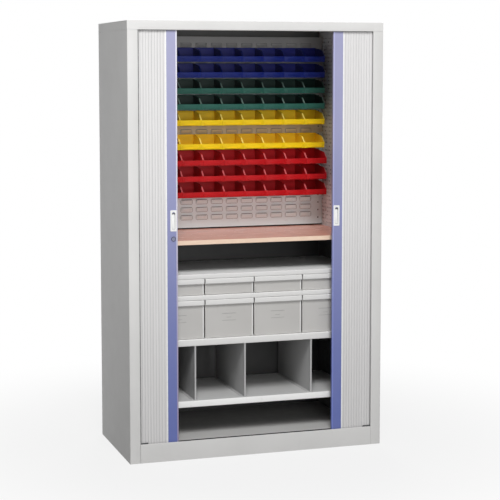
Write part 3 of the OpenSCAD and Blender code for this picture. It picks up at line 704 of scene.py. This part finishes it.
def make_bottom_rail():
    gap = 0.2
    section = [(-HALF_D, 0), (-HALF_D, RAIL_TOP), (fy(LOW_FOLD), RAIL_TOP)]
    s = Shape()
    s.prism(folded(section, -SHEET, BEND), "x", -STILE_X + gap, STILE_X - gap)
    s.piece("case_bottom_rail", [PAINT], "case", ["bottom_rail"], "case_grey")


def make_shadow_strips():
    """Dark strips of painted shade for the shadow lines beside the stiles and under the top rail, and dark
    track ends at the bottom corners as painted shade.
    """
    front, back, radius = fy(FOLD + 0.4), fy(SLAT_V - 1), 0.6
    behind, gap, track_end = 3, 0.2, 36
    s = Shape()
    for side, shown in ((-1, 5.0), (1, -1.0)):
        x0, x1 = sorted((side * (STILE_X + behind), side * (STILE_X - shown)))
        # Painted shade: a dark strip beside each stile and, at its foot, a dark track end
        s.block((x0, front, RAIL_TOP), (x1, back, RAIL_LOW), radius)
        x0, x1 = sorted((side * (STILE_X - shown - gap), side * (STILE_X - track_end)))
        s.block((x0, front, RAIL_TOP - 3), (x1, back, RAIL_TOP + 5), radius, 1)
    s.block((-STILE_X, front, RAIL_LOW - 2), (STILE_X, fy(POST_V - 1.5), RAIL_LOW + 3), radius)
    s.piece("shadow_strips", [SHADOW_STRIP, DARK], "case", (), "glide_plastic")


def make_rivets():
    """Two columns of domed rivets on the back."""
    dome = [(4.0, 0.0), (3.7, 0.7), (2.6, 1.3), (1.2, 1.6)]
    peak, sunk, points = 1.7, 0.1, 14
    column, lowest, rise, count = 587, 70, 165, 12
    last = (len(dome) - 1) * points
    tip = len(dome) * points
    faces = band(points, len(dome)) + [[last + j, last + (j + 1) % points, tip] for j in range(points)]
    s = Shape()
    for x in (-column, column):
        for k in range(count):
            z = lowest + k * rise
            verts = [p for r, h in dome for p in circle(x, HALF_D - sunk + h, z, r, points)]
            s.add(verts + [(x, HALF_D + peak, z)], faces)
    s.piece("back_rivets", [PAINT], "case", (), "case_grey")


# Shelves, dividers and drawers

def make_shelves():
    hem, gap = 14, 0.2
    y0, y1 = fy(SHELF_V), fy(LOUVRE_V)
    for name, node, z, edge, radius, paint in (
            ("shelf_over_short_drawers", "short_drawer_shelf", SHORT_SHELF_Z, THIN_EDGE, 1.4, SHELF),
            ("shelf_over_tall_drawers", "tall_drawer_shelf", TALL_SHELF_Z, THIN_EDGE, 1.4, SHELF),
            ("shelf_over_dividers", "middle_shelf", MIDDLE_SHELF_Z, THICK_EDGE, 1.8, SHELF),
            ("shelf_under_dividers", "lower_shelf", LOWER_SHELF_Z, THICK_EDGE, 1.8, LOW_SHELF)):
        section = [(y0 + hem, z - edge), (y0, z - edge), (y0, z), (y1, z), (y1, z - edge)]
        s = Shape()
        s.prism(folded(section, -SHEET, radius), "x", -INSIDE + gap, INSIDE - gap)
        s.piece(name, [paint], "case", [node], "shelf_grey")


def make_dividers():
    """Upright sheets with a folded front edge, each on a foot that lies on the lower shelf."""
    sheet, half, deep, foot = 1.4, 4, 12, 16
    front, back = fy(SHELF_V) + SEAT_GAP, fy(LOUVRE_V)
    low, high = LOWER_SHELF_Z, MIDDLE_SHELF_Z - THICK_EDGE - SEAT_GAP
    for name, x in (("left", -280), ("middle", -44), ("right", 278)):
        edge = [(x + half, front + deep), (x + half, front), (x - half, front), (x - half, front + deep)]
        s = Shape()
        s.prism(folded(edge, -sheet, BEND), "z", low, high)
        s.block((x - 0.75, front + 1.2, low), (x + 0.75, back, high), 0.3)
        s.block((x - foot, front + 20, low), (x + foot, back - 4, low + sheet), 0.4)
        s.piece("divider_sheet_" + name, [DIVIDER], "case", ["divider_" + name], "case_grey")


def drawer_front(s, low, top, framed):
    """Front with a rolled lip, a hem on each side and, on a tall drawer, a bare label frame; the lip and
    the right hem take the paler shelf paint as a painted highlight.
    """
    half, wall, turn = FRONT_HALF, DRAWER_T, 9
    front = fy(SHELF_V + DRAWER_SET)
    face = [(-half, front + turn), (-half, front), (half, front), (half, front + turn)]
    s.prism(folded(face, wall, 3.2, 5), "z", low, top - 1.2)
    out, under = front - DRAWER_SET, top - GRIP_H
    lip = [(front + 1.4, top), (out, top), (out, under), (out + 6, under)]
    # Lip in slot 1, the paler shelf paint, as a painted highlight
    s.prism(folded(lip, wall, 1.4, 5), "x", -half - 0.8, half + 0.8, 1)
    # Hems: the left one in the drawer's grey, the right one in the paler shelf paint as a painted
    # highlight
    for x0, x1, slot in ((-half, -half + 5, 0), (half - 4.6, half + 1.4, 1)):
        s.block((x0, front - 0.9, low + 1), (x1, front + 3, under - 1), 0.8, slot)
    if framed:
        for drop, wide, deep in ((66, 33, 1.1), (84, 12, 0.8), (98, 33, 0.8)):
            z = top - drop
            s.block((-wide, front - 0.9, z - deep), (wide, front + 0.4, z + deep), 0.4, 2)
    return front


def drawer_shape(shelf_z, next_z, framed):
    """One drawer between two shelves, in the middle of its row."""
    low, top = next_z + UNDER_GAP, shelf_z - THIN_EDGE - OVER_GAP
    box, wall, inset = BOX_HALF, DRAWER_T, 0.6
    rim = shelf_z - THIN_EDGE - RUNNER_DROP + SEAT_GAP + wall
    s = Shape()
    front = drawer_front(s, low, top, framed) + wall
    back = front + DRAWER_L
    for side in (-1, 1):
        x0, x1 = sorted((side * box, side * (box - wall)))
        s.block((x0, front, low), (x1, back, rim), 0.5)
        x0, x1 = sorted((side * box, side * (box + FLANGE)))
        s.block((x0 - 0.2, front, rim - wall), (x1, back, rim), 0.4)
    s.block((-box + inset, front, low), (box - inset, back, low + wall), 0.4)
    s.block((-box + inset, back - wall, low + inset), (box - inset, back, rim), 0.4)
    return s


def make_drawers():
    columns = 4
    for kind, shelf_z, next_z in (
            ("short", SHORT_SHELF_Z, TALL_SHELF_Z),
            ("tall", TALL_SHELF_Z, MIDDLE_SHELF_Z)):
        shape = drawer_shape(shelf_z, next_z, kind == "tall")
        mesh = shape.mesh(kind + "_drawer_body", [DRAWER, SHELF, MARK])
        for k in range(columns):
            node = f"{kind}_drawer_{k + 1}"
            x = (k - (columns - 1) / 2) * DRAWER_PITCH
            place(f"drawer_{kind}_{k + 1}", mesh, node, [node], (x, 0, 0))


# Louvre panel and bins

def louvre_shape(y0):
    """One pressed louvre, its upper edge at z = 0, with a painted shadow line round it and painted shade
    in its mouth.
    """
    across, upward, sheet, shadow_line = 14, 6, 1.3, 2
    w, h, row = LOUVRE_HALF, LOUVRE_H, across + 1
    s = Shape()
    for inset, flip in ((0.0, False), (sheet, True)):
        grid = []
        for j in range(upward + 1):
            v = j / upward
            rise = math.sin(v * math.pi / 2) ** 1.2
            for i in range(row):
                u = math.sin((i / across - 0.5) * math.pi)
                end = max(0.0, 1 - abs(u) ** 5) ** 0.5
                bulge = max(0.0, (LOUVRE_OUT - inset) * end * rise)
                grid.append((u * w * (1 - inset / w), y0 - 0.05 - bulge, -h + v * h))
        faces = [[j * row + i, j * row + i + 1, (j + 1) * row + i + 1, (j + 1) * row + i]
                 for j in range(upward) for i in range(across)]
        s.add(grid, [f[::-1] for f in faces] if flip else faces)
    edge, inner = upward * row, (2 * upward + 1) * row
    rim = [[edge + i, edge + i + 1, inner + i + 1, inner + i] for i in range(across)]
    s.faces += rim
    s.slots += [0] * len(rim)

    # Painted shadow line: a dark ring round the louvre
    a, b = w + shadow_line, h + shadow_line
    outer = rounded([(-a, -b), (a, -b), (a, shadow_line), (-a, shadow_line)], 6, 4)
    within = rounded([(-w, -h), (w, -h), (w, 0), (-w, 0)], 5, 4)
    s.add([(x, y0 - 0.08, z) for x, z in outer + within], band(len(outer), 2), 2)
    # Painted shade: a dark face in the louvre's mouth
    mouth = rounded([(-w + 1, -8), (w - 1, -8), (w - 1, 1.2), (-w + 1, 1.2)], 1.1, 3)
    s.add([(x, y0 - 0.12, z) for x, z in mouth], [list(range(len(mouth)))], 1)
    return s


def make_louvres():
    """Folded sheet with rows of louvres, and a column of punched holes near each edge, dark with painted
    shade.
    """
    y0 = fy(LOUVRE_V)
    low, high, turn = 990.0, 1903.5, 26
    plan = [(-INSIDE, y0 + turn), (-INSIDE, y0), (INSIDE, y0), (INSIDE, y0 + turn)]
    s = Shape()
    s.prism(folded(plan, SHEET, WIDE_BEND), "z", low, high)
    rows = [LOUVRE_Z + r * LOUVRE_RISE for r in range(LOUVRE_ROWS)]
    middle = (LOUVRE_COLUMNS - 1) / 2
    columns = [(c - middle) * LOUVRE_STEP for c in range(LOUVRE_COLUMNS)]
    s.copies(louvre_shape(y0), [(x, 0, z) for z in rows for x in columns])
    hole_x, drop, points = 483, 28, 16
    collar = ((4.2, 0.05), (3.8, 0.35), (3.3, 0.1))
    for x in (-hole_x, hole_x):
        for z in rows:
            verts = [p for r, out in collar for p in circle(x, y0 - out, z - drop, r, points)]
            s.add(verts, band(points, len(collar)))
            # Painted shade: a dark disc in each hole
            s.add(verts[-points:], [list(range(points))], 1)
    s.piece("louvre_sheet", [LOUVRE, DARK, LOUVRE_SHADOW_LINE], "case", ["louvre_panel"], "louvre_grey", 60)


def bin_shell(length):
    """Thin walls of an open bin, with the faces towards its inside in a slot of their own."""
    draft, soft = 0.35, 0.5
    bm = bmesh.new()

    def pair(y, z, x):
        return bm.verts.new((-x, -y, z)), bm.verts.new((x, -y, z))
    a = pair(0.6, 0, BIN_HALF - draft)
    b = pair(length - 0.6, 0, BIN_HALF - draft)
    c = pair(length + BIN_LEAN - 1.2, BIN_LIP, BIN_HALF - 0.2)
    d = pair(length - BIN_SLOPE, BIN_SIDE, BIN_HALF - 0.2)
    e = pair(0.6, BIN_H, BIN_HALF - 0.2)
    bm.faces.new((a[0], a[1], b[1], b[0]))
    bm.faces.new((a[0], e[0], e[1], a[1]))
    bm.faces.new((b[0], b[1], c[1], c[0]))
    for k in (0, 1):
        ring = (a[k], b[k], c[k], d[k], e[k])
        bm.faces.new(ring if k == 0 else ring[::-1])
    bmesh.ops.recalc_face_normals(bm, faces=bm.faces)
    if [f for f in bm.faces if len(f.verts) == 4][0].normal.z > 0:
        bmesh.ops.reverse_faces(bm, faces=bm.faces)
    inner = [edge for edge in bm.edges if len(edge.link_faces) == 2]
    bmesh.ops.bevel(bm, geom=inner, offset=soft, segments=2, profile=0.5, affect="EDGES")
    me = bpy.data.meshes.new("bin_work")
    bm.to_mesh(me)
    bm.free()
    work = bpy.data.objects.new("bin_work", me)
    scene.collection.objects.link(work)
    solid = work.modifiers.new("solid", "SOLIDIFY")
    solid.thickness, solid.offset = BIN_WALL, -1
    solid.use_even_offset = True
    done = work.evaluated_get(bpy.context.evaluated_depsgraph_get()).to_mesh()
    s = Shape()
    s.add([v.co[:] for v in done.vertices], [list(p.vertices) for p in done.polygons])
    middle = Vector((0, -length / 2, BIN_H / 2))
    # Inside faces go to slot 2, which carries the painted light and shade of the inside
    for k, p in enumerate(done.polygons):
        inward = (middle - p.center).normalized()
        if p.normal.dot(inward) > 0.2 and p.area > 20:
            s.slots[k] = 2
    bpy.data.objects.remove(work)
    return s


def bin_rim(s, length):
    """Bead round a bin's upper edge, with painted light on the slope of its sides."""
    wide, tall, sides = 1.7, 1.5, 8
    x = BIN_HALF - wide
    profile = [(-1.4, BIN_H), (BIN_SLOPE - length, BIN_SIDE), (2.2 - length - BIN_LEAN, BIN_LIP)]
    path = [(-x, y, z) for y, z in profile] + [(x, y, z) for y, z in profile[::-1]]
    soft = []
    for k, p in enumerate(path):
        radius = 5 if p[2] == BIN_LIP else 4
        soft += arc_corner(path[k - 1], p, path[(k + 1) % len(path)], radius, 4)
    n = len(soft)
    verts = []
    for k in range(n):
        along = (Vector(soft[(k + 1) % n]) - Vector(soft[k - 1])).normalized()
        across = Vector((along.y, -along.x, 0)).normalized()
        up = across.cross(along).normalized()
        for j in range(sides):
            t = 2 * math.pi * j / sides
            verts.append(Vector(soft[k]) + across * wide * math.cos(t) + up * tall * math.sin(t))
    faces = band(sides, n, True)
    s.add(verts, faces)
    # Slope of the sides goes to slot 1, which carries the painted light of the rim
    for k, f in enumerate(faces):
        level = sum(verts[i].z for i in f) / 4
        if BIN_LIP + 3 < level < BIN_SIDE - 2:
            s.slots[k - len(faces)] = 1


def bin_shape(length):
    """One open bin, its back at y = 0 and its front towards -Y, its base at z = 0."""
    s = bin_shell(length)
    bin_rim(s, length)
    front = -length - BIN_LEAN / 2
    label, low, high = 36, 4.5, 18
    near, far = front - 1.6, front + 2.2
    s.block((-label, near, low), (label, far, low + 2), 0.6)
    for x in (-label, label):
        s.block((x - 1, near, low), (x + 1, far, high), 0.6)
    hook_z, end = BIN_H - HOOK_DROP, BIN_HALF - 2
    s.block((-end, -0.6, hook_z - HOOK_T), (end, HOOK_REACH, hook_z), 0.5)
    s.block((-end, HOOK_REACH - HOOK_T, hook_z - 7), (end, HOOK_REACH, hook_z - 0.5), 0.5)
    return s


def make_bins():
    """Rows of bins, each hung on a row of louvres."""
    count, long_bin, short_bin = 9, 160.0, 128.0
    hung_on = {"red_bins_1": 4, "red_bins_2": 6, "red_bins_3": 8, "yellow_bins_1": 10, "yellow_bins_2": 13,
               "green_bins_1": 15, "green_bins_2": 17, "blue_bins_1": 19, "blue_bins_2": 21}
    y = fy(LOUVRE_V) - LOUVRE_OUT - SEAT_GAP
    places = [((k - (count - 1) / 2) * BIN_PITCH, 0, 0) for k in range(count)]
    meshes = {}
    for node, louvre in hung_on.items():
        colour = node.split("_")[0]
        if colour not in meshes:
            s = Shape()
            s.copies(bin_shape(long_bin if colour == "red" else short_bin), places)
            meshes[colour] = s.mesh(colour + "_bin_row", BIN[colour], 40)
        z = LOUVRE_Z + louvre * LOUVRE_RISE + SEAT_GAP + HOOK_T + HOOK_DROP - BIN_H
        place(node + "_moulded", meshes[colour], "case", [node], (0, y, z))


# Curtains, posts and handles

def crowned(across, y, crown, thick, inset=0.0):
    """Outline of a slat with a crowned face at a depth, given its places across from end to end."""
    face = []
    for k, x in enumerate(across):
        t = -1 + 2 * k / CROWN_STEPS
        face.append((x, y + crown * abs(t) ** CROWN_POWER))
    return face + [(across[-1] - inset, y + thick), (across[0] + inset, y + thick)]


def steps(a, b):
    """Places from one end of a slat to the other."""
    return [a + (b - a) * k / CROWN_STEPS for k in range(CROWN_STEPS + 1)]


def front_curtain(side, name, slats, outer):
    """Slats that move with the door, on a darker backing that shows between them as painted shade in the
    gaps.
    """
    y, inset = fy(SLAT_V), 0.2
    s = Shape()
    for k in range(slats):
        x0 = outer + k * PITCH + SLAT_GAP / 2
        s.prism(crowned(steps(x0, x0 + PITCH - SLAT_GAP), y, 0.75, 3.9, 0.9), "z", SLAT_LOW, SLAT_HIGH)
    low, high = SLAT_LOW + 2 * inset, SLAT_HIGH - 2 * inset
    # Painted shade: the darker backing in the gaps between the slats
    s.block((outer + inset, y + 1.8, low), (STILE_X - inset, y + 3.8, high), 0.3, 1)
    s.on(side).piece(name + "_curtain_front", [SLAT, DIVIDER], name + "_door", [name + "_front_slats"],
                     "slat_white", 50)


def stored_curtain(side, name, outer, travel):
    """Slats that wait behind the front ones, set where a closing that follows closed() would spread them
    out evenly.
    """
    count, tuck, gap, y = 29, 8, 0.2, fy(SLAT_V + 4.2)

    def closed(x):
        t = (STILE_X - x) / (STILE_X - outer)
        return x - travel * t * t * (3 - 2 * t)

    def rest(target):
        lo, hi = outer, STILE_X
        for _ in range(60):
            mid = (lo + hi) / 2
            lo, hi = (mid, hi) if closed(mid) < target else (lo, mid)
        return (lo + hi) / 2

    first = STILE_X - travel - tuck
    step = (STILE_X - first) / count
    s = Shape()
    for k in range(count):
        spread = steps(first + k * step + gap, first + (k + 1) * step - gap)
        s.prism(crowned([rest(x) for x in spread], y, 0.6, 2.6), "z", STRIP_LOW, STRIP_HIGH)
    mesh = s.on(side).mesh(name + "_curtain_stored", [SLAT], 50)
    o = bpy.data.objects.new(name + "_curtain_stored", mesh)
    scene.collection.objects.link(o)
    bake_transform(o)


def some_slats(node, name, at_corner):
    """Copy of a node's slats: those round the corner, or those along the side."""
    bm = bmesh.new()
    bm.from_mesh(NODES[node].data)
    bmesh.ops.remove_doubles(bm, verts=bm.verts, dist=0.00001)
    limit = (RUN_Y - 0.5) / MM
    bmesh.ops.delete(bm, geom=[v for v in bm.verts if (v.co.y < limit) != at_corner], context="VERTS")
    me = bpy.data.meshes.new(name)
    bm.to_mesh(me)
    bm.free()
    me.materials.append(SLAT)
    return me


def make_curtains():
    for side, name, slats in DOORS:
        outer, travel = door_reach(slats)
        front_curtain(side, name, slats, outer)
        stored_curtain(side, name, outer, travel)


def make_channels():
    """Slats at the corner, and slats along the side on a mesh of their own."""
    for _, name, slats in DOORS:
        node = name + "_bend_slats"
        corner, run = name + "_curtain_corner", name + "_curtain_run"
        place(corner, some_slats(node, corner, True), "case", [node])
        o = place(run, some_slats(node, run, False), "case", [node])
        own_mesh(o)


def post_trim(side, name, inner):
    """Lip on a post's inner edge, paler than the post as a painted highlight, and a white strip between
    the post and its slats.
    """
    y, wide = fy(POST_V), 6.5
    x0, x1, near, far = inner + 0.4, inner + wide, y - 1.1, y + 0.2
    s = Shape()
    lip = rounded([(x0, near), (x1, near), (x1, far), (x0, far)], [0.9, 0.5, 0.1, 0.1], 3)
    s.prism(lip, "z", STRIP_LOW, STRIP_HIGH)
    s.on(side).piece(name + "_post_lip", [LIP[name]], name + "_door", (), "handle_white")

    first, y = inner + POST_W, fy(SLAT_V)
    s = Shape()
    s.block((first - 0.3, y - 0.9, STRIP_LOW), (first + 5.5, y + 1, STRIP_HIGH), 0.7)
    s.on(side).piece(name + "_curtain_edge", [WHITE], name + "_door", (), "handle_white")


def shrunk(outline, d):
    """Outline about its middle, drawn in by a distance on all sides."""
    return [(p[0] - math.copysign(d, p[0]), p[1] - math.copysign(d, p[1])) for p in outline]


def handle_plate(side, name, inner):
    """Plate with an arched recess, whose floor slopes in towards the arch and carries a tongue."""
    x, y = inner + HANDLE_IN, fy(POST_V)
    face, low, high = y - 2.0, -39, 40
    near, fall = 1.5, 6.5

    def ring(outline, depth):
        return [(x + p[0], depth, HANDLE_Z + p[1]) for p in outline]

    def on_floor(outline, rise):
        return [(x + p[0], face + near + fall * (p[1] - low) / (high - low) - rise, HANDLE_Z + p[1])
                for p in outline]

    outer = rounded([(-14.5, -47), (14.5, -47), (14.5, 47), (-14.5, 47)], 3.5, 5)
    hole = rounded([(-8.6, low), (8.6, low), (8.6, high), (-8.6, high)], [2, 2, 8.5, 8.5], 5)
    n = len(outer)
    loops = [ring(outer, y - 0.05), ring(outer, face + 0.7), ring(shrunk(outer, 0.7), face),
             ring(shrunk(hole, -0.8), face), ring(hole, face + 0.8), ring(hole, y + 1)]
    s = Shape()
    s.add([p for loop in loops for p in loop], band(n, len(loops)))
    s.add(ring(hole, y + 0.9) + on_floor(hole, 0), band(n, 2) + [list(range(n, 2 * n))], 1)

    tongue = rounded([(-5.6, -36), (5.6, -36), (5.6, 29), (-5.6, 29)], [1.5, 1.5, 5.4, 5.4], 4)
    m = len(tongue)
    s.add(on_floor(tongue, 0.1) + on_floor(tongue, 0.9) + on_floor(shrunk(tongue, 0.6), 1.3),
          band(m, 3) + [list(range(2 * m, 3 * m))])
    s.on(side).piece(name + "_handle_plate", [WHITE, RECESS], name + "_door", [name + "_handle"],
                     "handle_white")


def make_posts():
    for side, name, slats in DOORS:
        inner = door_reach(slats)[0] - POST_W
        post_trim(side, name, inner)
        handle_plate(side, name, inner)


# Floor, light and background

def make_floor():
    """Plain floor that keeps the shadow near the object, and is white further away."""
    reach, below = 30, -0.0005
    me = bpy.data.meshes.new("floor")
    corners = [(-reach, -reach), (reach, -reach), (reach, reach), (-reach, reach)]
    me.from_pydata([(x, y, below) for x, y in corners], [], [[0, 1, 2, 3]])
    floor = bpy.data.objects.new("floor", me)
    scene.collection.objects.link(floor)
    g = Graph("floor")
    far = g.node("ShaderNodeVectorMath", operation="LENGTH")
    g.join(g.coord, far.inputs[0])
    white = g.node("ShaderNodeEmission")
    path = g.node("ShaderNodeLightPath").outputs
    seen = g.math("MAXIMUM", path["Is Camera Ray"], path["Is Glossy Ray"])
    seen = g.math("MAXIMUM", seen, path["Is Transmission Ray"])
    fac = g.math("MULTIPLY", seen, g.span(far.outputs["Value"], 0.7, 2.2, 0.83, 1, True))
    mixer = g.node("ShaderNodeMixShader")
    g.finish((0.4, 0.4, 0.4, 1), g.span(g.noise(2, 2), 0.3, 0.7, 0.8, 0.9))
    g.join(fac, mixer.inputs[0])
    g.join(g.bsdf.outputs[0], mixer.inputs[1])
    g.join(white.outputs[0], mixer.inputs[2])
    g.join(mixer.outputs[0], g.tree.nodes["Material Output"].inputs["Surface"])
    me.materials.append(g.mat)


def make_world():
    """White to the eye and in reflections, and a dim even light on the object."""
    dim, white = 0.20, 1.0
    world = bpy.data.worlds.new("studio")
    scene.world = world
    world.use_nodes = True
    tree = world.node_tree
    back = tree.nodes["Background"]
    back.inputs["Color"].default_value = (1, 1, 1, 1)
    path = tree.nodes.new("ShaderNodeLightPath").outputs

    def larger(a, b):
        n = tree.nodes.new("ShaderNodeMath")
        n.operation = "MAXIMUM"
        tree.links.new(a, n.inputs[0])
        tree.links.new(b, n.inputs[1])
        return n.outputs[0]

    seen = larger(larger(path["Is Camera Ray"], path["Is Glossy Ray"]), path["Is Transmission Ray"])
    level = tree.nodes.new("ShaderNodeMapRange")
    tree.links.new(seen, level.inputs["Value"])
    level.inputs["To Min"].default_value = dim
    level.inputs["To Max"].default_value = white
    tree.links.new(level.outputs[0], back.inputs["Strength"])


def make_lamps():
    """Square soft boxes aimed at the middle of the cabinet: place, width and power."""
    aim = Vector((0, 0, 1.0))
    for name, at, wide, power in (
            ("key", (-1.2, -4.9, 6.1), 2.4, 358),
            ("fill", (-0.5, -6.6, 1.7), 2.0, 102),
            ("rear", (1.6, 5.4, 3.0), 2.4, 140)):
        data = bpy.data.lights.new(name, "AREA")
        data.shape, data.size, data.size_y, data.energy = "RECTANGLE", wide, wide, power
        o = bpy.data.objects.new(name, data)
        o.location = at
        o.rotation_euler = (aim - Vector(at)).to_track_quat("-Z", "Y").to_euler()
        scene.collection.objects.link(o)


make_camera()
make_sides()
make_top()
make_bottom_rail()
make_shadow_strips()
make_rivets()
make_shelves()
make_dividers()
make_drawers()
make_louvres()
make_bins()
make_curtains()
make_channels()
make_posts()

# CAD nodes that stay: material, radius of softened edges in millimetres, and names
STAYING = (
    (POST, 0.7, ("left_post", "right_post")),
    (WALL, 0, ("left_inner_wall", "right_inner_wall")),
    (BACK, 0, ("back_panel",)),
    (FLOOR, 0.5, ("floor_panel",)),
    (PAINT, 0, ("base_plinth", "worktop_angles")),
    (WOOD, 0.6, ("worktop",)),
    (TRACK, 0, ("upper_track", "lower_track", "left_side_tracks", "right_side_tracks")),
    (SLAT, 0, ("left_tail_slats", "right_tail_slats")),
    (DARK, 0.4, ("left_glides", "right_glides")),
    (ZINC, 0, ("shelf_clips", "short_drawer_runners", "tall_drawer_runners", "lock_hook", "strike_plate")),
    (ROSETTE, 0.4, ("lock_rosette",)),
    (CHROME, 0.3, ("lock_barrel",)),
)
for mat, soften, nodes in STAYING:
    for node in nodes:
        finish_cad(node, mat, soften)

make_floor()
make_world()
make_lamps()
scene.view_settings.view_transform = "Standard"
